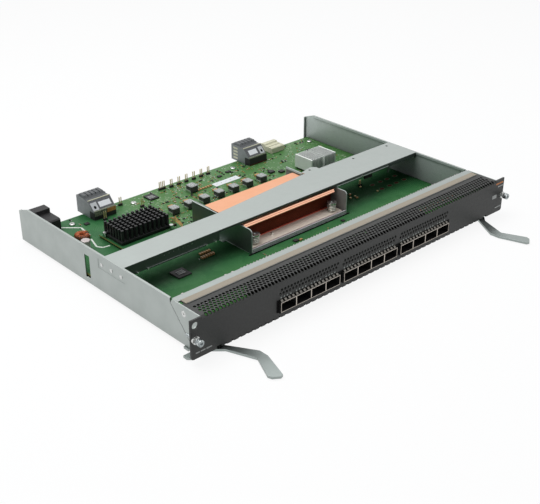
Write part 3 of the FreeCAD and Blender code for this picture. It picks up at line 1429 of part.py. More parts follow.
def lever():
    """The right ejector lever: an arm under the face, a bent grip and a claw beside the tray."""
    corners = lever_outline()
    blade = Part.Face(Part.makePolygon(corners + corners[:1])).extrude(V(0, 0, LEVER_SHEET))
    root = rod(LEVER_ROOT_RADIUS, LEVER_PIVOT_X, LEVER_PIVOT_Y, LEVER_BOTTOM, LEVER_SHEET)
    x, y = LEVER_PIVOT_X, LEVER_PIVOT_Y
    slot_rear = y + CLAW_SLOT_START + CLAW_SLOT
    claw = prism(
        [
            (x, y - CLAW_FRONT + CLAW_CORNER),
            (x + CLAW_FRONT_REACH - CLAW_CORNER, y - CLAW_FRONT),
            (x + CLAW_FRONT_REACH, y - CLAW_FRONT + CLAW_CORNER),
            (x + CLAW_FRONT_REACH, y + CLAW_SLOT_START),
            (x + CLAW_SLOT_BOTTOM, y + CLAW_SLOT_START),
            (x + CLAW_SLOT_BOTTOM, slot_rear),
            (x + CLAW_REAR_REACH, slot_rear),
            (x + CLAW_REAR_REACH, y + CLAW_REAR),
            (x + CLAW_CORNER, y + CLAW_REAR),
            (x, y),
        ],
        "z",
        LEVER_BOTTOM,
        LEVER_SHEET,
    )
    hole = rod(RIVET_SHANK_RADIUS + RIVET_CLEARANCE, x, y, LEVER_BOTTOM - 1, LEVER_SHEET + 2)
    return join([blade, root, claw]).cut(hole)


PIECES["ejector_lever_right"] = lever()
PIECES["ejector_lever_left"] = mirrored(PIECES["ejector_lever_right"])


@piece
def lever_rivets():
    """Shouldered rivets through the tray floor; the lever turns on the shank."""
    bottom = LEVER_BOTTOM - RIVET_CLEARANCE
    shank = rod(RIVET_SHANK_RADIUS, LEVER_PIVOT_X, LEVER_PIVOT_Y, bottom, FLOOR_TOP - bottom)
    shoulder_height = LEVER_GAP - RIVET_CLEARANCE
    shoulder = rod(RIVET_HEAD_RADIUS, LEVER_PIVOT_X, LEVER_PIVOT_Y, TRAY_BOTTOM - shoulder_height, shoulder_height)
    low = rod(RIVET_HEAD_RADIUS, LEVER_PIVOT_X, LEVER_PIVOT_Y, bottom - RIVET_HEAD_HEIGHT, RIVET_HEAD_HEIGHT)
    high = rod(RIVET_HEAD_RADIUS, LEVER_PIVOT_X, LEVER_PIVOT_Y, FLOOR_TOP, RIVET_HEAD_HEIGHT)
    return group(both_sides(join([low, shank, shoulder, high])))


HEAD_REAR = -FERRULE_HEIGHT - THUMB_TRAVEL
CLIP_FRONT = FLANGE_REAR + FERRULE_CLEARANCE


def thumb_rod(radius, start, length):
    return rod(radius, THUMB_X, start, THUMB_Z, length, (0, 1, 0))


def thumbscrew():
    """The right thumbscrew: a recessed head, a plain shank with a clip groove and a threaded end."""
    head = thumb_rod(THUMB_HEAD_RADIUS, HEAD_REAR - THUMB_HEAD_LENGTH, THUMB_HEAD_LENGTH)
    front = HEAD_REAR - THUMB_HEAD_LENGTH
    rims = [
        edge
        for edge in head.Edges
        if isinstance(edge.Curve, Part.Circle) and edge.CenterOfMass.y < front + 0.1
    ]
    head = head.makeFillet(0.6, rims)
    bore = thumb_rod(COUNTERBORE_RADIUS, HEAD_REAR - COUNTERBORE_DEPTH, COUNTERBORE_DEPTH + 1)
    drive = hexagon(DRIVE_RADIUS, THUMB_X, THUMB_Z, "y", front - 1, DRIVE_DEPTH * 0.5 + 1)
    shank_end = CLIP_FRONT + CLIP_SHEET + 1.5
    shank_start = HEAD_REAR - COUNTERBORE_DEPTH - 0.5
    shank = thumb_rod(THUMB_SHANK_RADIUS, shank_start, shank_end - shank_start)
    groove_radius = THUMB_SHANK_RADIUS - CLIP_GROOVE_DEPTH
    groove_width = CLIP_SHEET + 2 * THUMB_RUNNING_GAP
    groove = thumb_rod(THUMB_SHANK_RADIUS + 1, CLIP_FRONT - THUMB_RUNNING_GAP, groove_width)
    groove = groove.cut(thumb_rod(groove_radius, CLIP_FRONT - 1, CLIP_SHEET + 2))
    thread = thumb_rod(THUMB_THREAD_RADIUS, shank_end, THUMB_THREAD_REACH - shank_end)
    return join([head.cut(bore), shank.cut(groove), thread]).cut(drive)


def retaining_clip():
    """The ring that sits in the shank's groove behind the ear and keeps the screw captive."""
    inner = THUMB_SHANK_RADIUS - CLIP_GROOVE_DEPTH + THUMB_RUNNING_GAP
    return thumb_rod(CLIP_RADIUS, CLIP_FRONT, CLIP_SHEET).cut(thumb_rod(inner, CLIP_FRONT - 1, CLIP_SHEET + 2))


def ferrule():
    """The pressed collar that the screw runs in."""
    neck = FERRULE_RADIUS * 0.7
    collar = thumb_rod(FERRULE_RADIUS, -FERRULE_HEIGHT, FERRULE_HEIGHT)
    tube = thumb_rod(neck, -FERRULE_HEIGHT, FERRULE_HEIGHT + FLANGE_REAR)
    bore = thumb_rod(THUMB_SHANK_RADIUS + FERRULE_CLEARANCE, -FERRULE_HEIGHT - 1, FERRULE_HEIGHT + FLANGE_REAR + 2)
    return join([collar, tube]).cut(bore)


PIECES["thumbscrew_right"] = thumbscrew()
PIECES["thumbscrew_left"] = mirrored(PIECES["thumbscrew_right"])
PIECES["retaining_clip_right"] = retaining_clip()
PIECES["retaining_clip_left"] = mirrored(PIECES["retaining_clip_right"])
PIECES["screw_ferrules"] = group(both_sides(ferrule()))


@piece
def thumb_springs():
    """Each pushes its screw out, from the ferrule to the bottom of the head's counterbore."""
    length = THUMB_TRAVEL + COUNTERBORE_DEPTH - 0.1
    spring = coil(
        SCREW_SPRING_RADIUS,
        SCREW_SPRING_WIRE,
        SCREW_SPRING_TURNS,
        length,
        THUMB_X,
        -FERRULE_HEIGHT,
        THUMB_Z,
        (0, -1, 0),
        SPRING_SECTION_SIDES,
    )
    return group(both_sides(spring))


os.makedirs("parts", exist_ok=True)
everything = group(list(PIECES.values())).BoundBox
TO_ORIGIN = V(-everything.Center.x, -everything.Center.y, -everything.ZMin)
for name, shape in PIECES.items():
    shape.translate(TO_ORIGIN)
    shape.exportStep(f"parts/{name}.step")
print("face datum to origin", TO_ORIGIN)
print("nodes", len(PIECES), "size", everything.XLength, everything.YLength, everything.ZLength)
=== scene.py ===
# %% [markdown]
# # A switch line card, finished in Blender
# The real object is a shallow zinc tray that slides into a network chassis. CAD has made every part with its
# true size; this lesson adds what CAD leaves plain: paint, plated metal, the board's green surface, hundreds
# of vent holes and the light.

# %% Load the CAD frame
import json
import math
import random

import bpy
from mathutils import Matrix, Vector


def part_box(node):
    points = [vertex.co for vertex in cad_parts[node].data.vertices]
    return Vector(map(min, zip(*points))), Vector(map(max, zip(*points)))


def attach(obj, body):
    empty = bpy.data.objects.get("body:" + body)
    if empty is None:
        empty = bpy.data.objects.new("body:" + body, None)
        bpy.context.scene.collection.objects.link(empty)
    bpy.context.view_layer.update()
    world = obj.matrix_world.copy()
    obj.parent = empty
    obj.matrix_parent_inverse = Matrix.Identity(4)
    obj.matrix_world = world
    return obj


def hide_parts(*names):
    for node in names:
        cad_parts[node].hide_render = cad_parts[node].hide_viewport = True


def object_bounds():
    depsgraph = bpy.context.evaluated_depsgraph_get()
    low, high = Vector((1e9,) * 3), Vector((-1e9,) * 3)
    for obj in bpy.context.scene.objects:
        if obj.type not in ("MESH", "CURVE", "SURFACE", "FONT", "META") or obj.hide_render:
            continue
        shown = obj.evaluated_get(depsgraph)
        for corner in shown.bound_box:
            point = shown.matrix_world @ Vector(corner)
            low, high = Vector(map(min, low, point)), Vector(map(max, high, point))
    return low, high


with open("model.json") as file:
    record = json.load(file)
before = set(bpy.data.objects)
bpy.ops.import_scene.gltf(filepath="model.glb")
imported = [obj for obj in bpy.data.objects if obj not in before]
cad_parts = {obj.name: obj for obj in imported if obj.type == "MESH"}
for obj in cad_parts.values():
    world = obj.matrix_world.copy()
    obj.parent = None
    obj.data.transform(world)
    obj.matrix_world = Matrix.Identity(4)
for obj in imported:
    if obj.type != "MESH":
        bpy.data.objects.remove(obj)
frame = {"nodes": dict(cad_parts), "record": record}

nodes = frame["nodes"]
scene = bpy.context.scene
size_at_load = [list(corner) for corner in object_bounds()]
print(len(nodes), "CAD nodes, size", [round(b - a, 4) for a, b in zip(*size_at_load)])

# %% [markdown]
# ## Where things are
# A front panel is drawn from its own lower front edge, so this script measures from there too, in
# millimetres: X from the middle, Y back from the face, Z up from the ears' lower edge. The CAD panel's box
# says where that point is, so nothing here repeats a position that CAD could change.

# %% Millimetres from the panel's face
MM = 0.001
panel_low, panel_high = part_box("front_panel")
DATUM = Vector((0, panel_low.y, panel_low.z))


def at(x, y, z):
    """A point in the frame from millimetres across, back and up."""
    return DATUM + Vector((x, y, z)) * MM


def box_mm(node):
    """A CAD node's corners as (x0, y0, z0, x1, y1, z1) in millimetres from the datum."""
    low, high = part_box(node)
    return [*((low - DATUM) / MM), *((high - DATUM) / MM)]


def new_object(name, data):
    """An object that is linked to the scene."""
    made = bpy.data.objects.new(name, data)
    scene.collection.objects.link(made)
    return made


def applied(holder):
    """The mesh of an object with its curve or modifiers worked out; the object itself is removed."""
    mesh = bpy.data.meshes.new_from_object(holder.evaluated_get(bpy.context.evaluated_depsgraph_get()))
    bpy.data.objects.remove(holder)
    return mesh


print("face datum", [round(v, 5) for v in DATUM])

# %% [markdown]
# ## The camera
# The picture was taken with a fairly long lens from the front left, well above the card. Lines that are
# parallel on the object meet at vanishing points in a picture, and those points give the lens and the
# direction. The values here were found that way, and the camera is set from them with plain trigonometry.

# %% Set the camera
CAMERA_SPOT = (-696.7, -601.7, 511.7)
CAMERA_AZIMUTH = math.radians(-42.741)
CAMERA_ELEVATION = math.radians(27.452)
LENS = 64.97
SHIFT = (-0.0028, -0.0135)

camera_data = bpy.data.cameras.new("camera")
camera_data.lens = LENS
camera_data.sensor_width = 36
camera_data.shift_x, camera_data.shift_y = SHIFT
camera = new_object("camera", camera_data)
right = Vector((math.cos(CAMERA_AZIMUTH), math.sin(CAMERA_AZIMUTH), 0))
backward = Vector(
    (
        math.sin(CAMERA_AZIMUTH) * math.cos(CAMERA_ELEVATION),
        -math.cos(CAMERA_AZIMUTH) * math.cos(CAMERA_ELEVATION),
        math.sin(CAMERA_ELEVATION),
    )
)
upward = backward.cross(right)
turn = Matrix((right, upward, backward)).transposed().to_4x4()
camera.matrix_world = Matrix.Translation(at(*CAMERA_SPOT)) @ turn
scene.camera = camera
print("camera at", [round(v, 3) for v in camera.location])

# %% [markdown]
# ## Effects that many finishes share
# A finish on a real part is never one flat colour: zinc has faint crystals, paint has fine grain, sheet has
# softened edges. Each such effect is one shader group with named inputs, used by every material that needs
# it. The groups hold only the effect; each material keeps its own Principled shader. A third group paints
# shade: where other surfaces are near, in corners and under parts, it darkens the colour towards black.

# %% Shared shader groups
def new_group(name, inputs, outputs):
    """An empty shader group with float, colour or vector sockets; returns it with its two end nodes."""
    group = bpy.data.node_groups.new(name, "ShaderNodeTree")
    kinds = {"f": "NodeSocketFloat", "c": "NodeSocketColor", "v": "NodeSocketVector"}
    for socket, kind, value in inputs:
        made = group.interface.new_socket(socket, in_out="INPUT", socket_type=kinds[kind])
        if value is not None:
            made.default_value = value
    for socket, kind in outputs:
        group.interface.new_socket(socket, in_out="OUTPUT", socket_type=kinds[kind])
    return group, group.nodes.new("NodeGroupInput"), group.nodes.new("NodeGroupOutput")


def add(tree, kind, links=None, **values):
    """Add a node, set its properties, and link or set its inputs by name."""
    node = tree.nodes.new(kind)
    for key, value in values.items():
        setattr(node, key, value)
    for socket, source in (links or {}).items():
        if isinstance(source, bpy.types.NodeSocket):
            tree.links.new(source, node.inputs[socket])
        else:
            node.inputs[socket].default_value = source
    return node


def mix_colour(tree, factor, a, b, blend="MIX"):
    """Mix two colours; each argument is a socket or a constant."""
    node = add(tree, "ShaderNodeMix", data_type="RGBA", blend_type=blend)
    for socket, source in ((0, factor), (6, a), (7, b)):
        if isinstance(source, bpy.types.NodeSocket):
            tree.links.new(source, node.inputs[socket])
        else:
            node.inputs[socket].default_value = source
    return node.outputs[2]


def multiply(tree, a, b):
    """The product of two values; each is a socket or a constant."""
    return add(tree, "ShaderNodeMath", {0: a, 1: b}, operation="MULTIPLY").outputs[0]


mottle, m_in, m_out = new_group(
    "mottle",
    [
        ("Colour", "c", None),
        ("Second", "c", None),
        ("Scale", "f", 120.0),
        ("Amount", "f", 0.5),
        ("Roughness", "f", 0.4),
    ],
    [("Colour", "c"), ("Roughness", "f")],
)
place = add(mottle, "ShaderNodeTexCoord").outputs["Object"]
cloud = add(mottle, "ShaderNodeTexNoise", {"Vector": place, "Scale": m_in.outputs["Scale"], "Detail": 5.0})
spreading = {"Value": cloud.outputs["Fac"], "From Min": 0.35, "From Max": 0.65}
spread = add(mottle, "ShaderNodeMapRange", spreading)
strength = multiply(mottle, spread.outputs[0], m_in.outputs["Amount"])
mottled = mix_colour(mottle, strength, m_in.outputs["Colour"], m_in.outputs["Second"])
mottle.links.new(mottled, m_out.inputs["Colour"])
shift = {0: strength, 1: 0.12, 2: m_in.outputs["Roughness"]}
rough_shift = add(mottle, "ShaderNodeMath", shift, operation="MULTIPLY_ADD")
mottle.links.new(rough_shift.outputs[0], m_out.inputs["Roughness"])

grain, g_in, g_out = new_group(
    "grain", [("Scale", "f", 4000.0), ("Depth", "f", 0.1), ("Edge", "f", 0.00025)], [("Normal", "v")]
)
place = add(grain, "ShaderNodeTexCoord").outputs["Object"]
speck = add(grain, "ShaderNodeTexNoise", {"Vector": place, "Scale": g_in.outputs["Scale"], "Detail": 2.0})
soft_edge = add(grain, "ShaderNodeBevel", {"Radius": g_in.outputs["Edge"]}, samples=4)
bump = {"Height": speck.outputs["Fac"], "Strength": g_in.outputs["Depth"], "Distance": 0.0002}
relief = add(grain, "ShaderNodeBump", {**bump, "Normal": soft_edge.outputs[0]})
grain.links.new(relief.outputs[0], g_out.inputs["Normal"])

# Painted shade: ambient occlusion darkens the colour towards near-black in corners, under and between parts.
corner_shade, v_in, v_out = new_group(
    "corner_shade",
    [("Colour", "c", None), ("Reach", "f", 0.03), ("Depth", "f", 0.5)],
    [("Colour", "c"), ("Open", "f")],
)
open_sky = add(corner_shade, "ShaderNodeAmbientOcclusion", {"Distance": v_in.outputs["Reach"]}, samples=6)
shading = {"Value": open_sky.outputs["AO"], "From Min": 0.1, "From Max": 0.75}
shade = add(corner_shade, "ShaderNodeMapRange", shading)
corner_shade.links.new(shade.outputs[0], v_out.inputs["Open"])
cover = add(corner_shade, "ShaderNodeMath", {0: 1.0, 1: shade.outputs[0]}, operation="SUBTRACT")
shade_amount = multiply(corner_shade, cover.outputs[0], v_in.outputs["Depth"])
shaded_colour = mix_colour(corner_shade, shade_amount, v_in.outputs["Colour"], (0.004, 0.006, 0.005, 1))
corner_shade.links.new(shaded_colour, v_out.inputs["Colour"])
print("shader groups:", [g.name for g in bpy.data.node_groups])

# %% [markdown]
# ## The plain finishes
# Most parts need one of a few finishes: plated steel, nickel, copper, black paint, moulded plastic, ceramic.
# One short function makes them all from the shared groups, so a finish is a line of numbers: its colour and
# second colour, how metallic and how rough it is, then where wanted the scale and amount of the mottle, the
# depth and scale of the grain, the softness of its edges, how much painted shade it gets in a corner and how
# far that shade reaches.

# %% Make the plain finishes
FINISHES = {}
SHARP = 0.00001


def finish(
    name, colour, second, metallic, roughness, scale=150.0, amount=0.5, depth=0.06, bump_scale=3000.0,
    edge=0.00025, shadow=0.0, reach=0.03, specular=0.5,
):
    """Keep a Principled material from the shared groups; a shadow above 0 adds painted shade in corners."""
    material = bpy.data.materials.new(name)
    material.use_nodes = True
    tree = material.node_tree
    surface = tree.nodes["Principled BSDF"]
    values = {"Colour": (*colour, 1), "Second": (*second, 1), "Scale": scale, "Amount": amount}
    look = add(tree, "ShaderNodeGroup", node_tree=mottle)
    for socket, value in {**values, "Roughness": roughness}.items():
        look.inputs[socket].default_value = value
    feel = add(tree, "ShaderNodeGroup", node_tree=grain)
    for socket, value in {"Scale": bump_scale, "Depth": depth, "Edge": edge}.items():
        feel.inputs[socket].default_value = value
    colour_out = look.outputs["Colour"]
    # Painted shade: the colour is darkened where other surfaces are near.
    if shadow:
        corner = {"Colour": colour_out, "Reach": reach, "Depth": shadow}
        colour_out = add(tree, "ShaderNodeGroup", corner, node_tree=corner_shade).outputs["Colour"]
    tree.links.new(colour_out, surface.inputs["Base Color"])
    tree.links.new(look.outputs["Roughness"], surface.inputs["Roughness"])
    tree.links.new(feel.outputs["Normal"], surface.inputs["Normal"])
    surface.inputs["Metallic"].default_value = metallic
    surface.inputs["Specular IOR Level"].default_value = specular
    FINISHES[name] = material


finish(
    "zinc_sheet", (0.40, 0.435, 0.42), (0.37, 0.405, 0.39),
    1.0, 0.34, 60.0, 0.6, 0.03, shadow=0.35, reach=0.04
)
# Painted shade: a darker copy of the sheet zinc for the ejector levers.
finish("lever_zinc_shaded", (0.31, 0.345, 0.335), (0.285, 0.32, 0.31), 1.0, 0.34, 60.0, 0.6, 0.03)
finish("nickel_sheet", (0.50, 0.45, 0.40), (0.40, 0.36, 0.31), 0.9, 0.34, 140.0, 0.6, shadow=1.0, reach=0.03)
# Painted shade: a darker copy of the cage nickel for the cage fingers.
finish("finger_nickel_shaded", (0.20, 0.19, 0.17), (0.13, 0.12, 0.11), 0.8, 0.4, 400.0, 0.6, shadow=0.6, reach=0.01)
finish(
    "black_paint", (0.016, 0.017, 0.016), (0.013, 0.014, 0.013),
    0.0, 0.48, 400.0, 0.6, 0.2, 2600.0, specular=0.48
)
finish("steel_bright", (0.62, 0.63, 0.62), (0.50, 0.51, 0.50), 0.95, 0.22, 200.0, 0.5)
finish("copper", (0.80, 0.40, 0.235), (0.72, 0.345, 0.19), 0.8, 0.34, 40.0, 0.6, 0.03, 1800.0)
finish("aluminium", (0.77, 0.80, 0.77), (0.70, 0.73, 0.70), 0.3, 0.42, 120.0, 0.5, shadow=0.7, reach=0.004)
finish("black_aluminium", (0.012, 0.012, 0.013), (0.018, 0.018, 0.019), 0.2, 0.38, 200.0, 0.6, specular=0.4)
finish("gasket_tan", (0.335, 0.295, 0.235), (0.29, 0.255, 0.20), 0.0, 0.75, 900.0, 0.7, 0.4, 1500.0)
finish("rubber_black", (0.006, 0.006, 0.006), (0.010, 0.010, 0.010), 0.0, 0.8, 500.0, 0.5, 0.2, specular=0.15)
finish(
    "plastic_black", (0.012, 0.012, 0.013), (0.018, 0.018, 0.018),
    0.0, 0.5, 300.0, 0.5, 0.12, specular=0.35
)
finish(
    "plastic_grey", (0.20, 0.222, 0.225), (0.17, 0.19, 0.195),
    0.0, 0.42, 200.0, 0.6, 0.1, shadow=0.5, reach=0.004
)
finish("plastic_beige", (0.60, 0.59, 0.44), (0.54, 0.53, 0.38), 0.0, 0.5, 200.0, 0.5, 0.1)
finish("ferrite_grey", (0.58, 0.61, 0.60), (0.085, 0.09, 0.085), 0.1, 0.45, 1600.0, 1.0, 0.4)
finish("ceramic_tan", (0.46, 0.25, 0.09), (0.36, 0.19, 0.06), 0.0, 0.35, 500.0, 0.5)
finish("lens_pale", (0.26, 0.28, 0.26), (0.18, 0.20, 0.18), 0.0, 0.25, 100.0, 0.3)
finish("label_white", (0.72, 0.74, 0.76), (0.68, 0.70, 0.72), 0.0, 0.5, 200.0, 0.3, edge=SHARP)
finish("baffle_grey", (0.20, 0.245, 0.22), (0.17, 0.21, 0.19), 0.9, 0.34, 200.0, 0.6, shadow=0.3, reach=0.04)
finish("winding", (0.46, 0.12, 0.04), (0.30, 0.07, 0.02), 0.4, 0.35, 500.0, 0.6, edge=SHARP)
# Painted shade: a darker copy of the sheet zinc for the front rail.
finish(
    "rail_zinc_shaded", (0.35, 0.38, 0.37), (0.32, 0.355, 0.345),
    1.0, 0.34, 60.0, 0.6, 0.03, shadow=0.35, reach=0.04
)
# Painted shade: a near-black metal for the brace's front and lower faces and its lips, which lie in shade.
finish("web_dark", (0.075, 0.095, 0.085), (0.06, 0.075, 0.07), 0.7, 0.4, 60.0, 0.5)
# Painted light: a lighter, less metallic copy of the baffle grey for the left baffle's outer face.
finish("baffle_outer_light_and_shade", (0.60, 0.64, 0.64), (0.54, 0.58, 0.58), 0.1, 0.4, 60.0, 0.5)
finish("inductor_side", (0.035, 0.036, 0.036), (0.028, 0.03, 0.03), 0.0, 0.42)
# Painted highlight: light grey for lit narrow edges: baffle edges, the sill's line and ribs, the brace line.
finish("edge_light", (0.52, 0.57, 0.55), (0.44, 0.49, 0.47), 0.2, 0.4)
finish("sill_grey", (0.60, 0.50, 0.56), (0.44, 0.37, 0.41), 0.2, 0.45, shadow=0.5, reach=0.004)
finish("coil_steel", (0.66, 0.66, 0.60), (0.50, 0.50, 0.44), 0.7, 0.3, shadow=0.5, reach=0.002)
# Painted light: a brighter copper for the cover's front lips, which sit in the brace's shade.
finish("copper_highlight", (0.90, 0.50, 0.34), (0.82, 0.42, 0.27), 0.85, 0.32)
finish("line_red", (0.55, 0.07, 0.03), (0.40, 0.05, 0.02), 0.1, 0.4)
# Painted light and shade: lighter, less metallic zinc for the right wall's inner face, dark in corners.
finish("wall_inner_light_and_shade", (0.56, 0.62, 0.59), (0.50, 0.56, 0.53), 0.35, 0.4, 60.0, 0.5, shadow=1.0, reach=0.08)
# Painted light: a lighter, less metallic copy of the baffle grey for the right baffle's inner face.
finish("baffle_inner_lit", (0.27, 0.255, 0.24), (0.22, 0.21, 0.20), 0.3, 0.4)
finish("slate", (0.075, 0.08, 0.085), (0.06, 0.065, 0.07), 0.0, 0.42)
finish("hem_grey", (0.15, 0.155, 0.15), (0.12, 0.125, 0.12), 0.0, 0.5)
finish("latch_grey", (0.46, 0.48, 0.49), (0.38, 0.40, 0.41), 0.2, 0.35)
finish("cold_plate", (0.84, 0.74, 0.64), (0.74, 0.63, 0.53), 0.3, 0.42, 120.0, 0.6)
finish("fin_red", (0.46, 0.085, 0.035), (0.28, 0.055, 0.022), 0.5, 0.35, 900.0, 0.7, shadow=0.8, reach=0.012)
finish("core_dark", (0.05, 0.04, 0.03), (0.03, 0.025, 0.02), 0.0, 0.6)
finish("can_pale", (0.52, 0.46, 0.45), (0.44, 0.38, 0.38), 0.3, 0.4)
finish("pin_gold", (0.66, 0.54, 0.28), (0.56, 0.44, 0.20), 0.6, 0.35, edge=SHARP)
finish("print_white", (0.62, 0.66, 0.60), (0.56, 0.60, 0.54), 0.0, 0.6, edge=SHARP)
finish("print_grey", (0.34, 0.35, 0.34), (0.26, 0.27, 0.26), 0.0, 0.5, 800.0, 0.4, edge=SHARP)
finish("print_orange", (0.56, 0.19, 0.04), (0.46, 0.15, 0.03), 0.0, 0.5, 800.0, 0.4, edge=SHARP)
# Painted light and shade: thumbscrew steel mottled from bright to near-black, standing in for the knurl.
finish("screw_steel", (0.58, 0.62, 0.62), (0.12, 0.14, 0.15), 0.95, 0.22, 900.0, 1.0, 0.3, 1200.0)
finish("amber", (0.50, 0.24, 0.07), (0.34, 0.14, 0.04), 0.0, 0.4, 300.0, 0.8)
finish("pad_red", (0.075, 0.012, 0.010), (0.05, 0.010, 0.008), 0.0, 0.6, specular=0.05)
finish("pad_green", (0.075, 0.17, 0.08), (0.06, 0.14, 0.065), 0.0, 0.6, specular=0.05)
finish("edge_yellow", (0.24, 0.25, 0.07), (0.18, 0.19, 0.05), 0.0, 0.6)
finish("foot_stripe", (0.24, 0.27, 0.18), (0.02, 0.025, 0.02), 0.0, 0.5, 900.0, 1.0)

INSTEAD = {
    "cold_plate": "cold_plate", "heatsink_fins": "fin_red", "toroid_choke": "core_dark",
    "bulk_capacitor": "can_pale", "header_pins": "pin_gold", "cage_fingers": "finger_nickel_shaded",
    "ejector_lever_left": "lever_zinc_shaded", "ejector_lever_right": "lever_zinc_shaded", "front_rail": "rail_zinc_shaded",
    "duct_sill": "sill_grey", "screw_coils": "coil_steel", "thumbscrew_left": "screw_steel",
    "thumbscrew_right": "screw_steel",
}
print(len(FINISHES), "finishes")

# %% [markdown]
# ## The green board
# A circuit board is copper traces under green lacquer, with white print and rows of tinned holes. Bundles
# of traces run side by side in one of a few directions, so the surface is cut into cells, and each cell
# shows fine stripes along X, along Y or at 45 degrees. Small pale dots stand for the plated holes.

# %% Make the board's surface
board_surface = bpy.data.materials.new("board_green")
board_surface.use_nodes = True
tree = board_surface.node_tree
surface = tree.nodes["Principled BSDF"]
place = add(tree, "ShaderNodeTexCoord").outputs["Object"]


def above(value, limit):
    """In the board's tree, 1 where the value is greater than the limit, else 0."""
    return add(tree, "ShaderNodeMath", {0: value, 1: limit}, operation="GREATER_THAN").outputs[0]


def ramp(value, low, high, **ends):
    """In the board's tree, a value stretched so that low becomes 0 and high 1, or the ends given."""
    limits = {"Value": value, "From Min": low, "From Max": high}
    return add(tree, "ShaderNodeMapRange", {**limits, **ends}).outputs[0]


cells = add(tree, "ShaderNodeTexVoronoi", {"Vector": place, "Scale": 55.0}, distance="MANHATTAN")
cell_pick = add(tree, "ShaderNodeSeparateColor", {0: cells.outputs["Color"]})
quarter = multiply(tree, cell_pick.outputs[0], 4.0)
step = add(tree, "ShaderNodeMath", {0: quarter}, operation="FLOOR")
angle = multiply(tree, step.outputs[0], math.radians(45))
turned = add(tree, "ShaderNodeVectorRotate", {"Vector": place, "Angle": angle}).outputs[0]
wave = {"wave_type": "BANDS", "bands_direction": "X"}
stripes = add(tree, "ShaderNodeTexWave", {"Vector": turned, "Scale": 140.0}, **wave)
trace_mask = multiply(tree, stripes.outputs["Fac"], ramp(cell_pick.outputs[1], 0.45, 0.55))
trace_soft = multiply(tree, trace_mask, 0.65)
look = mix_colour(tree, trace_soft, (0.030, 0.128, 0.044, 1), (0.062, 0.190, 0.072, 1))
dots = add(tree, "ShaderNodeTexVoronoi", {"Vector": place, "Scale": 330.0, "Randomness": 0.75})
dot_edge = ramp(dots.outputs["Distance"], 0.16, 0.20, **{"To Min": 1.0, "To Max": 0.0})
dot_pick = add(tree, "ShaderNodeSeparateColor", {0: dots.outputs["Color"]})
dot_mask = multiply(tree, dot_edge, above(dot_pick.outputs[2], 0.62))
look = mix_colour(tree, dot_mask, look, (0.26, 0.34, 0.22, 1))
across = add(tree, "ShaderNodeSeparateXYZ", {0: place})
behind = ramp(across.outputs["Y"], 0.07, 0.10)
right_of = ramp(across.outputs["X"], -0.13, -0.09)
rear_part = multiply(tree, behind, right_of)
groups = add(tree, "ShaderNodeTexNoise", {"Vector": place, "Scale": 60.0, "Detail": 1.0})
in_group = ramp(groups.outputs["Fac"], 0.44, 0.60)
flecks = add(tree, "ShaderNodeTexVoronoi", {"Vector": place, "Scale": 620.0}, distance="CHEBYCHEV")
fleck_pick = add(tree, "ShaderNodeSeparateColor", {0: flecks.outputs["Color"]})
fleck_in_group = multiply(tree, above(fleck_pick.outputs[0], 0.84), in_group)
look = mix_colour(tree, multiply(tree, fleck_in_group, rear_part), look, (0.30, 0.38, 0.26, 1))
look = mix_colour(tree, multiply(tree, rear_part, 0.45), look, (0.100, 0.215, 0.050, 1))
# Painted light: towards the front edge the board's green is made lighter and yellower.
lit_front = ramp(across.outputs["Y"], -0.02, -0.09, **{"To Max": 0.8})
look = mix_colour(tree, lit_front, look, (0.060, 0.190, 0.040, 1))
# Painted shade: the board darkens under the brace, by the walls and among parts, and its sheen fades there.
board_shade = add(tree, "ShaderNodeGroup", {"Colour": look, "Reach": 0.10, "Depth": 0.95}, node_tree=corner_shade)
tree.links.new(board_shade.outputs["Colour"], surface.inputs["Base Color"])
sheen = ramp(board_shade.outputs["Open"], 0.75, 1.0, **{"To Max": 0.22})
tree.links.new(sheen, surface.inputs["Specular IOR Level"])
surface.inputs["Roughness"].default_value = 0.40
height = add(tree, "ShaderNodeBump", {"Height": trace_mask, "Strength": 0.15, "Distance": 0.0001})
tree.links.new(height.outputs[0], surface.inputs["Normal"])
FINISHES["board_green"] = board_surface
print("board surface has", len(tree.nodes), "shader nodes")

# %% Give each CAD node its finish
slot_of = {part["node"]: part["material_slot"] for part in frame["record"]["subparts"]}
for name, node in nodes.items():
    node.data.materials.clear()
    node.data.materials.append(FINISHES[INSTEAD.get(name, slot_of[name])])


def paint_faces(name, material, chosen):
    """Give a second finish to the faces for which chosen(normal, low corner, high corner) holds."""
    mesh = nodes[name].data
    mesh.materials.append(FINISHES[material])
    index = len(mesh.materials) - 1
    count = 0
    for face in mesh.polygons:
        corners = [(mesh.vertices[v].co - DATUM) / MM for v in face.vertices]
        low = [min(c[i] for c in corners) for i in range(3)]
        high = [max(c[i] for c in corners) for i in range(3)]
        if chosen(face.normal, low, high):
            face.material_index = index
            count += 1
    return count


cage_front, cage_floor, cage_roof = (box_mm("port_cage_left")[i] for i in (1, 2, 5))
CAGE_WALL = 0.3


def in_cage(normal, low, high):
    """Whether a cage's face lies inside it, behind the front rims."""
    return low[2] > cage_floor + CAGE_WALL and high[2] < cage_roof - CAGE_WALL and high[1] > cage_front + 0.2


def is_thin_edge(normal, low, high):
    """Whether a face is a sheet's narrow edge: its second longest side is no more than the sheet."""
    return sorted(high[i] - low[i] for i in range(3))[1] < 1.6


# Painted shade: the faces inside the cages take the rubber black, so the ports' insides look shaded.
for side in ("left", "middle", "right"):
    inside = paint_faces("port_cage_" + side, "rubber_black", in_cage)
for name in ("processor_card", "main_board"):
    paint_faces(name, "edge_yellow", lambda n, low, high: abs(n.z) < 0.3)
# Painted shade: the brace's faces turned to the front or down get the dark web finish.
paint_faces("cross_brace", "web_dark", lambda n, low, high: n.y < -0.7 or n.z < -0.7)
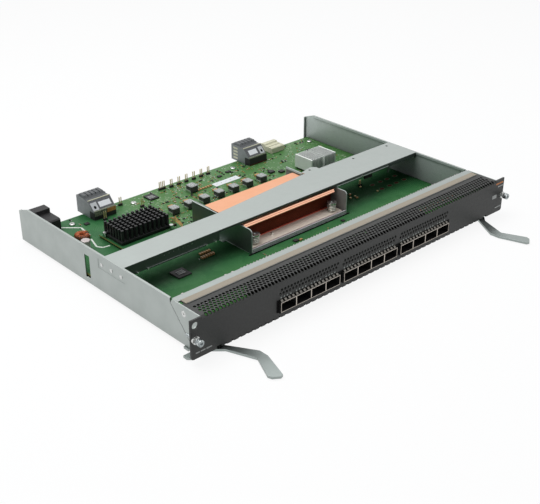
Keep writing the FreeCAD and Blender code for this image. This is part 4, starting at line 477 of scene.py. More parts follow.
# Painted light on the left baffle's outer face; painted shade on its front part is added below.
paint_faces("air_baffles", "baffle_outer_light_and_shade", lambda n, low, high: n.x < -0.7 and high[0] < -70)
paint_faces("power_inductors", "inductor_side", lambda n, low, high: abs(n.z) < 0.5)
# Painted light on the right baffle's inner face.
paint_faces("air_baffles", "baffle_inner_lit", lambda n, low, high: n.x < -0.7 and low[0] > 60)
# Painted light and shade on the right wall's inner face.
paint_faces("chassis_tray", "wall_inner_light_and_shade", lambda n, low, high: n.x < -0.7 and low[0] > 200)
for side in ("left", "right"):
    paint_faces("backplane_connector_" + side, "slate", lambda n, low, high: n.z > 0.4)
# Painted highlight on the baffles' narrow edges.
paint_faces("air_baffles", "edge_light", is_thin_edge)


def shade_behind(material, start, end, share):
    """Paint shade on a finish from one depth to another behind the face, in millimetres; it also dulls the
    metal.
    """
    tree = FINISHES[material].node_tree
    base = tree.nodes["Principled BSDF"].inputs["Base Color"]
    was = base.links[0].from_socket
    spot = add(tree, "ShaderNodeTexCoord")
    axes = add(tree, "ShaderNodeSeparateXYZ", {0: spot.outputs["Object"]})
    limits = {"From Min": at(0, start, 0)[1], "From Max": at(0, end, 0)[1], "To Max": share}
    depth = add(tree, "ShaderNodeMapRange", {"Value": axes.outputs["Y"], **limits})
    tree.links.new(mix_colour(tree, depth.outputs[0], was, (0.012, 0.011, 0.009, 1)), base)
    kept = add(tree, "ShaderNodeMath", {0: 1.0, 1: depth.outputs[0]}, operation="SUBTRACT")
    for name in ("Metallic", "Specular IOR Level"):
        socket = tree.nodes["Principled BSDF"].inputs[name]
        tree.links.new(multiply(tree, kept.outputs[0], socket.default_value), socket)


# Painted shade: nickel goes dark from 0.5 to 4 mm behind the face, so the cages under the deck look shaded.
shade_behind("nickel_sheet", 0.5, 4.0, 1.0)
# Painted shade: the left baffle's outer face goes dark towards the front, under the brace.
shade_behind("baffle_outer_light_and_shade", 182.0, 166.0, 0.85)
print("finished", len(slot_of), "CAD nodes;", inside, "dark faces in a cage")

# %% [markdown]
# ## The front panel and its perforated field
# The real panel is one steel sheet, punched flat and then folded. It is remade here the same way. The face
# is a filled 2-D curve with its openings as inner outlines. The vent field repeats one small tile with a
# round hole; a Geometry Nodes tree lays the tile on staggered rows in the flat, and then the flat field is
# wrapped over the bend, as the press does it. CAD keeps its simpler panel for collision. The simpler CAD
# panel is kept, hidden.

# %% Helpers for sheet with holes
def mesh_object(name, points, faces, material):
    """A mesh from frame points, ready to ride on a body."""
    mesh = bpy.data.meshes.new(name)
    mesh.from_pydata(points, [], faces)
    mesh.materials.append(FINISHES[material])
    return new_object(name, mesh)


def flat_sheet(name, outlines, thickness, placing):
    """Fill closed 2-D outlines, holes included, give them thickness and place every corner."""
    curve = bpy.data.curves.new(name, "CURVE")
    curve.dimensions = "2D"
    curve.fill_mode = "BOTH"
    curve.extrude = thickness / 2
    for outline in outlines:
        spline = curve.splines.new("POLY")
        spline.points.add(len(outline) - 1)
        for point, corner in zip(spline.points, outline):
            point.co = (*corner, 0, 1)
        spline.use_cyclic_u = True
    mesh = applied(new_object(name, curve))
    for vertex in mesh.vertices:
        x, y, z = vertex.co
        vertex.co = placing(x, y, z + thickness / 2)
    return new_object(name, mesh)


def oval(x, y, rx, ry, corners=20):
    """The corners of an ellipse."""
    turns = [math.tau * k / corners for k in range(corners)]
    return [(x + rx * math.cos(turn), y + ry * math.sin(turn)) for turn in turns]


def rectangle(x0, x1, y0, y1):
    """The corners of a rectangle."""
    return [(x0, y0), (x1, y0), (x1, y1), (x0, y1)]


# %% The face, its ears and its openings
SHEET_T = 2.0
FACE_EDGE = 39.4
TILE_PITCH = 4.412
TILE_ROW = 3.95
TILE_ROWS = 4
LONG_TILE = 1.5
FIELD_T = 1.2
BEVEL_LENGTH = 3.96
DECK_TOP = 42.2
DECK_START = 2.8
LAST_ROW_Y = 19.0
RETURN_BOTTOM = 27.2
face_half = (panel_high.x - panel_low.x) / MM / 2
deck_half = box_mm("front_rail")[3]
last_row = FACE_EDGE + BEVEL_LENGTH + LAST_ROW_Y - DECK_START
long_row = last_row - (TILE_ROWS - 0.5 + LONG_TILE / 2) * TILE_ROW
field_low = long_row - LONG_TILE / 2 * TILE_ROW
field_high = last_row + TILE_ROW / 2
ear_top = (panel_high.z - panel_low.z) / MM
window = box_mm("window_gasket")
cages = [box_mm("port_cage_" + side) for side in ("left", "middle", "right")]
thumb = box_mm("thumbscrew_right")
thumb_x, thumb_z = (thumb[0] + thumb[3]) / 2, (thumb[2] + thumb[5]) / 2

NOTCH_PITCH = 8.8
NOTCH_HALF = 1.6
NOTCH_TOP = 2.2
NOTCH_SIDE = 8.4
END_NOTCH = (3.2, 2.8)
CORNER = 2.2
CORNER_MID = 0.7
RETURN_LAP = 0.3
seal_half = box_mm("bottom_seal")[3]
notch_count = int((2 * seal_half - 2 * NOTCH_SIDE) / NOTCH_PITCH + 1.001)
notches = [(NOTCH_SIDE - seal_half + k * NOTCH_PITCH, NOTCH_HALF, NOTCH_TOP) for k in range(notch_count)]
notches = [(-seal_half, *END_NOTCH)] + notches + [(seal_half, *END_NOTCH)]
corner = [(0, CORNER), (CORNER_MID, CORNER_MID), (CORNER, 0)]
half = deck_half + RETURN_LAP
outline = [(-face_half + x, z) for x, z in corner]
for x, half_width, top in notches:
    outline += [(x - half_width, 0), (x - half_width, top), (x + half_width, top), (x + half_width, 0)]
outline += [(face_half - x, z) for x, z in reversed(corner)]
outline += [(face_half, ear_top), (half, ear_top), (half, field_low), (-half, field_low)]
outline += [(-half, ear_top), (-face_half, ear_top)]
holes = [rectangle(window[0], window[3], window[2], window[5])]
PORTS = 4
LENSES = 4
LENS_Z = 22.9
LENS_INSET = 2.4
LENS_PITCH = 4.35
LENS_RADIUS = 1.05
PATCH_PITCH = 4.4
PATCH_HOLES = 19
PATCH_INSET = 1.4
PATCH_RADIUS = 1.65
PATCH_ROWS = (27.1, 31.1)
SCREW_HOLE_RADIUS = 3.0
GUIDE_HOLE = (5.8, 36.0, 3.9)
port_pitch = (cages[0][3] - cages[0][0]) / PORTS
for cage in cages:
    for k in range(PORTS * LENSES):
        x = cage[0] + k // LENSES * port_pitch + LENS_INSET + k % LENSES * LENS_PITCH
        holes.append(oval(x, LENS_Z, LENS_RADIUS, LENS_RADIUS, 8))
    for k in range(PATCH_HOLES):
        for row, z in enumerate(PATCH_ROWS):
            x = cage[0] + PATCH_INSET + (k + row / 2) * PATCH_PITCH
            holes.append(oval(x, z, PATCH_RADIUS, PATCH_RADIUS, 12))
for side in (-1, 1):
    holes.append(oval(side * thumb_x, thumb_z, SCREW_HOLE_RADIUS, SCREW_HOLE_RADIUS, 20))
inset, guide_z, guide_radius = GUIDE_HOLE
holes.append(oval(inset - face_half, guide_z, guide_radius, guide_radius, 28))
face = flat_sheet("front_panel_skin", [outline] + holes, SHEET_T, lambda x, y, z: at(x, z, y))
face.data.materials.append(FINISHES["black_paint"])
print("face has", len(holes), "openings and", len(face.data.polygons), "faces")

# %% [markdown]
# The tile is a rectangle one pitch wide and one row deep, with a round hole in its middle and the hole's
# wall. Neighbouring tiles share their edge corners, so merging by distance makes one closed sheet. The row
# on the bend has longer holes, so its tile is a stretched one, with bands between border and hole that can
# follow the fold.

# %% One tile with a hole
HOLE_RADIUS = 1.75


def hole_tile(pitch, row, radius, thickness, stretch=1.0, bands=1):
    """Corners and faces of one tile: rings of 12 points from its border to the hole, and a lower copy."""
    xs = [-0.5, -0.25, 0, 0.25]
    border = [(x * pitch, -row / 2) for x in xs] + [(pitch / 2, y * row / 2) for y in (-1, 0)]
    border += [(-x * pitch, row / 2) for x in xs] + [(-pitch / 2, -y * row / 2) for y in (-1, 0)]
    count = len(border)
    rings = []
    for band in range(bands + 1):
        share = band / bands
        for x, y in border:
            angle = math.atan2(y, x)
            hole_x, hole_y = radius * math.cos(angle), radius * math.sin(angle)
            rings.append((x + (hole_x - x) * share, (y + (hole_y - y) * share) * stretch))
    points = [(x, y, z) for z in (0, thickness) for x, y in rings]
    lower, last = len(rings), bands * count
    faces = []
    for k in range(count):
        n = (k + 1) % count
        for start in range(0, last, count):
            a, b, c, d = start + k, start + n, start + count + n, start + count + k
            faces += [(a, b, c, d), (lower + b, lower + a, lower + d, lower + c)]
        faces.append((last + k, last + n, lower + last + n, lower + last + k))
    return points, faces


tile = mesh_object("tile", *hole_tile(TILE_PITCH, TILE_ROW, HOLE_RADIUS, FIELD_T), "black_paint")
long_tile = mesh_object(
    "long_tile", *hole_tile(TILE_PITCH, TILE_ROW, HOLE_RADIUS, FIELD_T, LONG_TILE, 3), "black_paint"
)
print("tiles have", len(tile.data.polygons), "and", len(long_tile.data.polygons), "faces")


# %% A tree that lays copies of a piece on points
def new_tree(name, inputs):
    """A Geometry Nodes tree with a geometry socket at each end and named inputs."""
    tree = bpy.data.node_groups.new(name, "GeometryNodeTree")
    tree.interface.new_socket("Geometry", in_out="INPUT", socket_type="NodeSocketGeometry")
    for socket, kind in inputs:
        tree.interface.new_socket(socket, in_out="INPUT", socket_type=kind)
    tree.interface.new_socket("Geometry", in_out="OUTPUT", socket_type="NodeSocketGeometry")
    return tree, tree.nodes.new("NodeGroupInput"), tree.nodes.new("NodeGroupOutput")


copies, c_in, c_out = new_tree(
    "copies_on_points",
    [
        ("Piece", "NodeSocketObject"),
        ("Material", "NodeSocketMaterial"),
        ("Merge", "NodeSocketFloat"),
        ("Turns", "NodeSocketFloat"),
        ("Seed", "NodeSocketInt"),
    ],
)
piece_info = add(copies, "GeometryNodeObjectInfo", {"Object": c_in.outputs["Piece"]})
whole_turns = add(copies, "FunctionNodeRandomValue", {"Seed": c_in.outputs["Seed"]}, data_type="INT")
copies.links.new(c_in.outputs["Turns"], whole_turns.inputs["Max"])
right_angles = multiply(copies, whole_turns.outputs[2], math.pi / 2)
spin = add(copies, "ShaderNodeCombineXYZ", {"Z": right_angles}).outputs[0]
laying = {"Points": c_in.outputs["Geometry"], "Instance": piece_info.outputs["Geometry"], "Rotation": spin}
lay = add(copies, "GeometryNodeInstanceOnPoints", laying).outputs[0]
real = add(copies, "GeometryNodeRealizeInstances", {"Geometry": lay}).outputs[0]
welding = {"Geometry": real, "Distance": c_in.outputs["Merge"]}
welded = add(copies, "GeometryNodeMergeByDistance", welding).outputs[0]
painting = {"Geometry": welded, "Material": c_in.outputs["Material"]}
painted = add(copies, "GeometryNodeSetMaterial", painting).outputs[0]
copies.links.new(painted, c_out.inputs["Geometry"])


def lay_copies(name, piece, points, material, merge=0.0, turns=0.0, seed=1):
    """Run the tree on a cloud of points and return one plain mesh object."""
    cloud = bpy.data.meshes.new(name + "_points")
    cloud.from_pydata(points, [], [])
    holder = new_object(name + "_holder", cloud)
    modifier = holder.modifiers.new("copies", "NODES")
    modifier.node_group = copies
    values = {"Piece": piece, "Material": FINISHES[material], "Merge": merge, "Turns": turns, "Seed": seed}
    for item in copies.interface.items_tree:
        if item.in_out == "INPUT" and item.name in values:
            modifier[item.identifier] = values[item.name]
    return new_object(name, applied(holder))


# %% Lay the tiles, then fold the sheet
COLUMNS = 101
WELD = 0.01
middle = (COLUMNS - 1) / 2
points = []
for row in range(TILE_ROWS):
    shift = row % 2 / 2
    for k in range(COLUMNS - row % 2):
        points.append(((k + shift - middle) * TILE_PITCH, last_row - row * TILE_ROW, 0))
field = lay_copies("panel_field", tile, points, "black_paint", merge=WELD)
bend_points = [((k - middle) * TILE_PITCH, long_row, 0) for k in range(COLUMNS)]
bend = lay_copies("panel_bend", long_tile, bend_points, "black_paint", merge=WELD)
bpy.data.objects.remove(tile)
bpy.data.objects.remove(long_tile)
# Painted shade: hole walls take the rubber black, darker than the paint, so the holes look shaded.
for sheet in (field, bend):
    sheet.data.materials.append(FINISHES["rubber_black"])
    for polygon in sheet.data.polygons:
        if abs(polygon.normal.z) < 0.5:
            polygon.material_index = 1


BEND_EASE = 0.9


def passed(s, bend_line):
    """How far the sheet has turned at a bend line, from 0 before it to 1 behind it."""
    return min(max((s - bend_line) / BEND_EASE + 0.5, 0), 1)


def folded(x, s, depth):
    """The point at distance s along the sheet's outer surface, measured from the face's lower edge."""
    bend_low, bend_high = FACE_EDGE, FACE_EDGE + BEVEL_LENGTH
    if s < bend_low:
        y, z = 0, s
    elif s < bend_high:
        run = (s - bend_low) * math.sqrt(0.5)
        y, z = run, FACE_EDGE + run
    else:
        y, z = DECK_START + s - bend_high, DECK_TOP
    lean = math.radians(45 * (passed(s, bend_low) + passed(s, bend_high)))
    return at(x, y + depth * math.cos(lean), z - depth * math.sin(lean))


for sheet in (field, bend):
    for vertex in sheet.data.vertices:
        vertex.co = folded(*vertex.co)
print("vent field has", len(points) + len(bend_points), "holes")


# %% The plain strips round the field
BOX_FACES = [(0, 1, 3, 2), (4, 6, 7, 5), (0, 4, 5, 1), (2, 3, 7, 6), (0, 2, 6, 4), (1, 5, 7, 3)]


def box_object(name, x0, x1, y0, y1, z0, z1, material):
    """A plain box between two places on each axis, in millimetres."""
    points = [at(x, y, z) for x in (x0, x1) for y in (y0, y1) for z in (z0, z1)]
    return mesh_object(name, points, BOX_FACES, material)


def join_into(target, others):
    """Join the other objects into the target."""
    bpy.ops.object.select_all(action="DESELECT")
    for other in others + [target]:
        other.select_set(True)
    bpy.context.view_layer.objects.active = target
    bpy.ops.object.join()
    return target


deck_back = box_mm("front_panel")[4]
field_back = field_high - last_row + LAST_ROW_Y
field_edge = COLUMNS / 2 * TILE_PITCH
sheet_low = DECK_TOP - SHEET_T
strips = [box_object("deck_rear", -half, half, field_back, deck_back, sheet_low, DECK_TOP, "black_paint")]
for side in (-1, 1):
    outer, inner = side * half, side * (half - SHEET_T)
    wall = (outer, inner, SHEET_T, deck_back, RETURN_BOTTOM, sheet_low)
    strips.append(box_object("return", *wall, "black_paint"))
    levels = [field_low, FACE_EDGE, FACE_EDGE + BEVEL_LENGTH, field_high]
    edges = (side * field_edge, outer)
    sheet_points = [folded(x, s, depth) for s in levels for x in edges for depth in (0, FIELD_T)]
    sheet_faces = []
    for a in range(0, 4 * len(levels) - 4, 4):
        b = a + 4
        sheet_faces += [(a, a + 2, b + 2, b), (a + 1, b + 1, b + 3, a + 3)]
        sheet_faces += [(a, b, b + 1, a + 1), (a + 2, a + 3, b + 3, b + 2)]
    strips.append(mesh_object("field_end", sheet_points, sheet_faces, "black_paint"))
    cell = ((TILE_PITCH / 2, -0.5), (0, -0.5), (0, 0.5), (TILE_PITCH / 2, 0.5))
    half_cells = []
    for row in range(1, TILE_ROWS, 2):
        s = last_row - row * TILE_ROW
        for depth in (0, FIELD_T):
            half_cells += [folded(side * (field_edge - x), s + up * TILE_ROW, depth) for x, up in cell]
    cell_faces = []
    for k in range(0, len(half_cells), 8):
        cell_faces += [(k, k + 1, k + 2, k + 3), (k + 7, k + 6, k + 5, k + 4)]
    strips.append(mesh_object("half_cells", half_cells, cell_faces, "black_paint"))
panel = join_into(face, [field, bend] + strips)
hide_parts("front_panel")
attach(panel, "card")
print("panel has", len(panel.data.polygons), "faces")

# %% [markdown]
# ## Print on the panel
# The real panel carries small print beside the ears. Here it is only what the eye sees from a distance:
# thin bars and a square, each a hair's breadth proud of the paint.

# %% Print marks
PRINT_LIFT = 0.06
marks = [
    (-236.0, -231.4, 5.5, 6.9, "print_grey"),
    (-230.2, -224.6, 5.5, 6.9, "print_grey"),
    (-223.4, -216.6, 5.5, 6.9, "print_grey"),
    (225.5, 239.5, 37.0, 38.8, "print_orange"),
    (229.7, 239.8, 33.0, 34.4, "print_grey"),
    (220.4, 228.8, 19.6, 24.2, "print_grey"),
    (228.0, 240.5, 5.8, 7.2, "print_grey"),
]
for index, (x0, x1, z0, z1, material) in enumerate(marks):
    mark = box_object(f"print_mark_{index}", x0, x1, -PRINT_LIFT, 0.2, z0, z1, material)
    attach(mark, "card")
print(len(marks), "print marks")

# %% [markdown]
# ## Small parts on the board
# A board like this holds hundreds of chip capacitors and resistors, far too small to model in CAD. Three
# small pieces are laid on scattered points by the same tree as the vent tiles. The points are drawn with a
# fixed seed, and a point that falls on a larger CAD part is dropped.

# %% Places that stay free
PLATES = (
    "main_board", "chassis_tray", "front_panel", "cross_brace", "front_rail", "top_gasket", "bottom_seal",
)
NEAR_BOARD = 9
board_top = box_mm("main_board")[5]


def islands(mesh):
    """The corners of each separate part of a mesh, in millimetres."""
    neighbours = {}
    for edge in mesh.edges:
        a, b = edge.vertices
        neighbours.setdefault(a, []).append(b)
        neighbours.setdefault(b, []).append(a)
    seen = set()
    for start in range(len(mesh.vertices)):
        if start in seen:
            continue
        stack, island = [start], []
        seen.add(start)
        while stack:
            vertex = stack.pop()
            island.append((mesh.vertices[vertex].co - DATUM) / MM)
            fresh = [n for n in neighbours.get(vertex, []) if n not in seen]
            seen.update(fresh)
            stack += fresh
        yield island


KEEP_OFF = []
for name in nodes:
    if name in PLATES:
        continue
    for island in islands(nodes[name].data):
        low = [min(p[i] for p in island) for i in range(3)]
        high = [max(p[i] for p in island) for i in range(3)]
        if low[2] < board_top + NEAR_BOARD and high[2] > board_top:
            KEEP_OFF.append((low[0], high[0], low[1], high[1]))


def free_spot(x, y, gap):
    """Whether a point stays a gap away from every larger part."""
    return all(not (x0 - gap < x < x1 + gap and y0 - gap < y < y1 + gap) for x0, x1, y0, y1 in KEEP_OFF)


print(len(KEEP_OFF), "places kept free")

# %% Scatter the small parts
random.seed(24)
CLUSTERS = [
    (-90, 90, 55, 105, 14),
    (90, 215, 60, 110, 4),
    (-215, -80, 185, 205, 30),
    (85, 215, 185, 210, 30),
    (-215, -90, 262, 318, 26),
    (-90, 90, 216, 318, 560),
    (85, 215, 215, 318, 300),
]
RUN_PITCH = 2.4
spots = {"chip_small": [], "chip_medium": [], "chip_pale": []}
for x0, x1, y0, y1, count in CLUSTERS:
    placed = 0
    while placed < count:
        x, y = random.uniform(x0, x1), random.uniform(y0, y1)
        run = random.choice((1, 1, 2, 3, 4, 6))
        along = random.random() < 0.5
        for k in range(run):
            px, py = (x + RUN_PITCH * k, y) if along else (x, y + RUN_PITCH * k)
            if x0 < px < x1 and y0 < py < y1 and free_spot(px, py, 1.4):
                kind = random.choices(list(spots), (6, 3, 4))[0]
                spots[kind].append(at(px, py, board_top))
            placed += 1
print({kind: len(found) for kind, found in spots.items()}, "small parts")

# %% Lay the small parts
SMALL_PARTS = {
    "chip_small": ((1.6, 0.8, 0.6), "ceramic_tan"),
    "chip_medium": ((2.4, 1.4, 1.0), "plastic_black"),
    "chip_pale": ((1.6, 0.9, 0.5), "steel_bright"),
}
for kind, (size, material) in SMALL_PARTS.items():
    w, d, h = (v * MM / 2 for v in size)
    corner_points = [(x, y, z) for x in (-w, w) for y in (-d, d) for z in (0, 2 * h)]
    seed_piece = mesh_object("seed_" + kind, corner_points, BOX_FACES, material)
    laid = lay_copies("small_parts_" + kind, seed_piece, spots[kind], material, turns=3.0, seed=7)
    bpy.data.objects.remove(seed_piece)
    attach(laid, "card")
    print(laid.name, len(laid.data.polygons), "faces")

# %% [markdown]
# ## Print and pads on the board
# White print on a board marks outlines and names; blank bars and lines stand for it here. Each mark is a flat
# shape a few hundredths of a millimetre above the lacquer, and all marks of one colour make one mesh.

# %% Flat marks on the board
def bar(x0, y0, x1, y1, width):
    """The four corners of a straight line with a width."""
    run = math.hypot(x1 - x0, y1 - y0)
    dx, dy = (y1 - y0) / run * width / 2, (x1 - x0) / run * width / 2
    return [(x0 + dx, y0 - dy), (x1 + dx, y1 - dy), (x1 - dx, y1 + dy), (x0 - dx, y0 + dy)]


def line(width, *corners):
    """Bars from corner to corner."""
    return [bar(*a, *b, width) for a, b in zip(corners, corners[1:])]


def flat_marks(name, shapes, material, z):
    """One mesh of flat polygons at height z."""
    points, faces = [], []
    for shape in shapes:
        faces.append(list(range(len(points), len(points) + len(shape))))
        points += [at(x, y, z) for x, y in shape]
    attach(mesh_object(name, points, faces, material), "card")


PADS = [(x, y) for x in (168, 183, 196, 211) for y in (129, 145)]
PRINT_FIELDS = [
    (-90, 88, 216, 243, 46),
    (-90, 90, 292, 318, 60),
    (92, 214, 255, 300, 60),
    (-112, -80, 262, 292, 14),
    (182, 214, 216, 250, 14),
]
white = line(2.2, (-188.4, 308.4), (-171.4, 292.6), (-174.8, 268.9))
white += line(2.0, (-178.8, 260.6), (-184.7, 240.3))
white += line(2.2, (-184.7, 240.3), (-180.6, 233.9), (-172.3, 232.5))
white += [bar(-119.5 + 2.2 * k, 138.4, -118.4 + 2.2 * k, 141.2, 0.5) for k in range(5)]
white += [bar(x - 2, 302, x + 2, 302, 0.6) for x in (-92, -86, -60, -40, -20, 0, 20)]
for x0, x1, y0, y1, count in PRINT_FIELDS:
    for _ in range(count):
        x, y = random.uniform(x0, x1), random.uniform(y0, y1)
        if free_spot(x, y, 1.0):
            length = random.choice((1.2, 2.0, 3.2))
            across_x = random.random() < 0.5
            white.append(bar(x, y, x + (length if across_x else 0), y + (0 if across_x else length), 0.45))
traces = []
for k in range(4):
    traces += line(0.5, (-84 + 1.7 * k, 213 + 9 * k / 4), (-78 + 1.7 * k, 243))
label = box_mm("board_label")
label_marks = []
for k in range(5):
    x = label[0] + 4 + 7.5 * k
    label_marks.append(bar(x, 280.5, x + 2, 280.5, 0.8 + 0.4 * (k % 2)))
chip_marks = []
for x, y in ((-154.4, 127.2), (-63.3, 302.8)):
    chip_marks += [bar(x - 4.5, y + 2.6 * k, x + 4.5, y + 2.6 * k, 1.5) for k in (-1, 0, 1)]
flat_marks("white_print", white, "print_white", board_top + 0.05)
flat_marks("pad_rings", [oval(x, y, 4.4, 3.3) for x, y in PADS], "pad_green", board_top + 0.04)
flat_marks("pads", [oval(x, y, 3.5, 2.4) for x, y in PADS], "pad_red", board_top + 0.08)
flat_marks("bare_traces", traces, "print_orange", board_top + 0.06)
flat_marks("label_marks", label_marks, "print_grey", label[5] + 0.04)
flat_marks("chip_marks", chip_marks, "print_grey", box_mm("surface_chips")[5] + 0.04)
print(len(white), "white marks,", len(PADS), "pads")

# %% [markdown]
# ## Winding, labels and small fittings
# The choke is enamelled wire on a ring core. A winding is one curve: it goes once round the ring while it
# turns many times round the core.

# %% Wind the choke
core = box_mm("toroid_choke")
core_x, core_y, core_z = [(core[i] + core[i + 3]) / 2 for i in range(3)]
core_tube = (core[5] - core[2]) / 2
core_ring = (core[3] - core[0]) / 2 - core_tube
WIRE = 0.42
TURNS = 24
WOUND_SHARE = 0.9
WOUND_LIFT = 0.45
steps = TURNS * 12
around = core_tube + WIRE
wire = bpy.data.curves.new("choke_winding", "CURVE")
wire.dimensions = "3D"
wire.bevel_depth = WIRE * MM
wire.bevel_resolution = 1
spline = wire.splines.new("POLY")
spline.points.add(steps)
for k, point in enumerate(spline.points):
    round_ring = math.tau * WOUND_SHARE * k / steps
    round_core = math.tau * TURNS * k / steps
    reach = core_ring + around * math.cos(round_core)
    x, y = core_x + reach * math.cos(round_ring), core_y + reach * math.sin(round_ring)
    point.co = (*at(x, y, core_z + WOUND_LIFT + around * math.sin(round_core)), 1)
wound = applied(new_object("choke_winding", wire))
winding = new_object("choke_wire", wound)
wound.materials.clear()
wound.materials.append(FINISHES["winding"])
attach(winding, "card")
print("winding has", len(wound.polygons), "faces")

# %% Labels, latches and stripes on the backplane connectors
SLOPE_FOOT = (299.5, 18.7)
SLOPE_TOP = (307.0, 26.3)
SLOPE_NORMAL = (-0.71, 0.70)


def on_slope(x, share, lift):
    """A point on the connectors' sloped face, lifted along its normal."""
    y = SLOPE_FOOT[0] + (SLOPE_TOP[0] - SLOPE_FOOT[0]) * share
    z = SLOPE_FOOT[1] + (SLOPE_TOP[1] - SLOPE_FOOT[1]) * share
    return at(x, y + SLOPE_NORMAL[0] * lift, z + SLOPE_NORMAL[1] * lift)


def slope_plate(name, x0, x1, low, high, thickness, material):
    """A plate on the sloped face, between two places across and two shares of the slope."""
    corners = rectangle(x0, x1, low, high)
    points = [on_slope(x, share, lift) for lift in (-0.1, thickness) for x, share in corners]
    faces = [(4, 5, 6, 7), (0, 1, 5, 4), (1, 2, 6, 5), (2, 3, 7, 6), (3, 0, 4, 7)]
    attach(mesh_object(name, points, faces, material), "card")


LATCH_HOLE = (1.7, 0.2)
fittings = []
for name, latch, tag in (
    ("backplane_connector_left", (0.8, 9.0), (11.5, 27.5)),
    ("backplane_connector_right", (22.0, 29.0), (4.5, 18.5)),
):
    left, _, _, right, _, _ = box_mm(name)
    slope_plate(name + "_label", left + tag[0], left + tag[1], 0.22, 0.86, 0.12, "label_white")
    slope_plate(name + "_latch", left + latch[0], left + latch[1], -0.02, 0.95, 0.5, "latch_grey")
    hole = [on_slope(x, share, 0.56) for x, share in oval(left + sum(latch) / 2, 0.34, *LATCH_HOLE, 14)]
    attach(mesh_object(name + "_latch_hole", hole, [list(range(14))], "rubber_black"), "card")
    band = (left + 0.6, right - 0.6, 296.8, 299.6, 17.1, 18.6)
    fittings.append(box_object(name + "_band", *band, "foot_stripe"))
    ridge = (left + 0.2, right + 0.4, 309.2, 310.4, 27.6, 28.6)
    fittings.append(box_object(name + "_ridge", *ridge, "plastic_beige"))
print("connectors have", len(fittings), "bands and ridges")

# %% Pins, knobs, a painted shadow and lips
BOXES = [
    ("amber_block", -131.5, -119.2, 296.4, 300.5, 13.2, 17.8, "amber"),
    ("red_edge", 94.4, 125.0, 296.6, 297.1, 7.6, 8.6, "pad_red"),
    ("striped_foot", -148.8, -132.5, 296.6, 297.1, 12.2, 17.0, "foot_stripe"),
]
for index, x in enumerate((-210.4, -197.1, -120.5, -108.0)):
    BOXES.append((f"brace_knob_{index}", x - 1.0, x + 1.0, 123.2, 125.1, 30.0, 32.0, "steel_bright"))
BOXES += [
    ("plate_pin", -28.2, -25.8, 120.8, 123.2, 12.5, 15.2, "steel_bright"),
    # Painted shadow: a black strip for the shade in the gap under the sill's front.
    ("sill_seal", -74.0, 86.0, 107.6, 109.0, 7.5, 8.5, "rubber_black"),
    # Painted highlights: the sill's line and two ribs.
    ("sill_line", -68.3, 80.7, 108.8, 109.3, 12.1, 12.9, "edge_light"),
    ("sill_rib_0", -68.3, 80.7, 108.6, 109.2, 8.3, 9.2, "edge_light"),
    ("sill_rib_1", -68.3, 80.7, 108.6, 109.2, 10.1, 11.0, "edge_light"),
]
for index in range(8):
    x = 150.0 + 9.0 * index
    BOXES.append((f"front_part_{index}", x, x + 3.6, 52.0, 54.4, 7.4, 8.6, "print_orange"))
fittings += [box_object(*values) for values in BOXES]
# The cover's front lips; their bright copper is painted light.
LIP_SECTION = ((0, 0), (1.1, 1.3), (1.1, 0.3), (0.4, -0.2))
for k, (y, z) in enumerate(((124.0, 33.4), (125.2, 35.0))):
    lip = [at(x, y + dy, z + dz) for dy, dz in LIP_SECTION for x in (-66.0, 76.4)]
    lip_faces = [(0, 1, 3, 2), (2, 3, 5, 4), (4, 5, 7, 6), (6, 7, 1, 0), (0, 2, 4, 6), (1, 7, 5, 3)]
    fittings.append(mesh_object(f"cover_lip_{k}", lip, lip_faces, "copper_highlight"))
BOXES = [
    ("deck_hem", -222.0, 222.0, 27.3, 29.3, 42.6, 42.78, "hem_grey"),
    ("fin_line", -63.3, 75.7, 129.2, 130.05, 12.5, 13.5, "line_red"),
    # Painted shade on the brace's lip.
    ("brace_lip", 88.0, 190.0, 124.2, 124.8, 37.6, 41.2, "web_dark"),
    # Painted highlight: a lit line along the brace's front.
    ("brace_line", 80.0, 172.5, 123.8, 124.3, 38.7, 39.4, "edge_light"),
    ("lip_knob", 123.0, 125.0, 123.0, 124.2, 38.4, 40.2, "steel_bright"),
    ("lip_clip", 131.0, 143.0, 124.8, 128.0, 33.0, 37.6, "rubber_black"),
    # Painted shade on the lip's post.
    ("lip_post", 172.0, 174.5, 124.2, 125.6, 30.0, 41.0, "web_dark"),
    ("pin_block", 152.0, 156.5, 152.5, 155.0, 7.5, 10.0, "rubber_black"),
    ("pin_block_pins", 153.0, 155.0, 153.0, 154.5, 10.0, 15.5, "pin_gold"),
]
for index, (x, y) in enumerate(((125.6, 135.7), (117.6, 135.8), (157.8, 127.2), (151.5, 150.5))):
    BOXES.append((f"board_post_{index}", x - 1.0, x + 1.0, y - 1.0, y + 1.0, 7.5, 9.0, "pin_gold"))
_, _, _, _, rail_back, rail_top = box_mm("front_rail")
TABS = 82
for index in range(TABS):
    x = -140.0 + 4.3 * index
    reach = rail_back + (0.7 + 0.8 * random.random())
    tab = (x, x + 1.1, rail_back - 0.1, reach, rail_top - 0.9, rail_top - 0.1)
    BOXES.append((f"rail_tab_{index}", *tab, "can_pale"))
for index, x in enumerate((-215.0, -161.0, -152.0)):
    clip = (x, x + 2.4, rail_back - 0.1, rail_back + 1.4, rail_top - 1.4, rail_top - 0.2)
    BOXES.append((f"rail_clip_{index}", *clip, "can_pale"))
fittings += [box_object(*values) for values in BOXES]
joined = join_into(fittings[0], fittings[1:])
joined.name = "small_fittings"
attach(joined, "card")
print("small fittings have", len(joined.data.polygons), "faces")

# %% [markdown]
# ## Floor and light
# A product picture is lit by large soft boxes, so metal shows broad pale reflections and shadows are faint.
# The world is a mid grey for the light it gives and white where the camera or a mirror looks at it. The
# floor does the same with Light Path, and keeps a soft shadow.

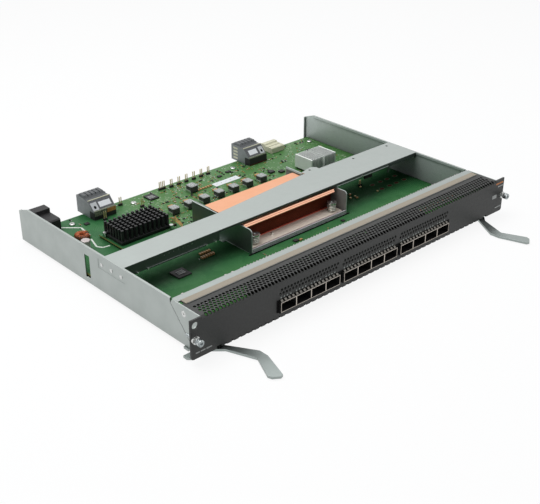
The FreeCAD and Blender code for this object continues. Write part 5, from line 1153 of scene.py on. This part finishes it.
# %% Floor
def seen_directly(tree):
    """1 for rays from the camera and for those that a mirror or glass sends on, else 0."""
    path = add(tree, "ShaderNodeLightPath")
    kinds = [path.outputs[kind] for kind in ("Is Camera Ray", "Is Glossy Ray", "Is Transmission Ray")]
    two = add(tree, "ShaderNodeMath", {0: kinds[0], 1: kinds[1]}, operation="MAXIMUM").outputs[0]
    return add(tree, "ShaderNodeMath", {0: two, 1: kinds[2]}, operation="MAXIMUM").outputs[0]


FLOOR_SIZE = 8
FLOOR_GAP = 0.0002
FLOOR_WHITE = 0.88
bpy.ops.mesh.primitive_plane_add(size=FLOOR_SIZE, location=(0, 0, size_at_load[0][2] - FLOOR_GAP))
floor = bpy.context.object
floor.name = "floor"
floor_material = bpy.data.materials.new("floor_white")
floor_material.use_nodes = True
tree = floor_material.node_tree
paint = tree.nodes["Principled BSDF"]
paint.inputs["Base Color"].default_value = (0.9, 0.9, 0.9, 1)
paint.inputs["Roughness"].default_value = 0.9
glow = add(tree, "ShaderNodeEmission", {"Color": (1, 1, 1, 1), "Strength": 1.0})
partly = multiply(tree, seen_directly(tree), FLOOR_WHITE)
blend_floor = add(tree, "ShaderNodeMixShader", {0: partly, 1: paint.outputs[0], 2: glow.outputs[0]})
tree.links.new(blend_floor.outputs[0], tree.nodes["Material Output"].inputs["Surface"])
floor.data.materials.append(floor_material)

# %% World and lamps
world = bpy.data.worlds.new("studio")
scene.world = world
world.use_nodes = True
tree = world.node_tree
tree.nodes.clear()
dim = add(tree, "ShaderNodeBackground", {"Color": (0.9, 0.95, 1.0, 1), "Strength": 0.32})
bright = add(tree, "ShaderNodeBackground", {"Color": (1, 1, 1, 1), "Strength": 1.0})
blend = {0: seen_directly(tree), 1: dim.outputs[0], 2: bright.outputs[0]}
blend_world = add(tree, "ShaderNodeMixShader", blend)
add(tree, "ShaderNodeOutputWorld", {"Surface": blend_world.outputs[0]})


def soft_box(name, place, width, power):
    """A square area lamp that looks at the frame's origin."""
    lamp = bpy.data.lights.new(name, "AREA")
    lamp.shape = "SQUARE"
    lamp.size = width
    lamp.energy = power
    holder = new_object(name, lamp)
    holder.location = place
    holder.rotation_euler = (-Vector(place)).to_track_quat("-Z", "Y").to_euler()


soft_box("key", (-0.5, 0.3, 1.6), 1.2, 19)
soft_box("top", (0.4, 0.5, 1.6), 1.4, 9)
soft_box("front", (0.9, -1.2, 0.7), 1.0, 2)
scene.view_settings.view_transform = "Standard"
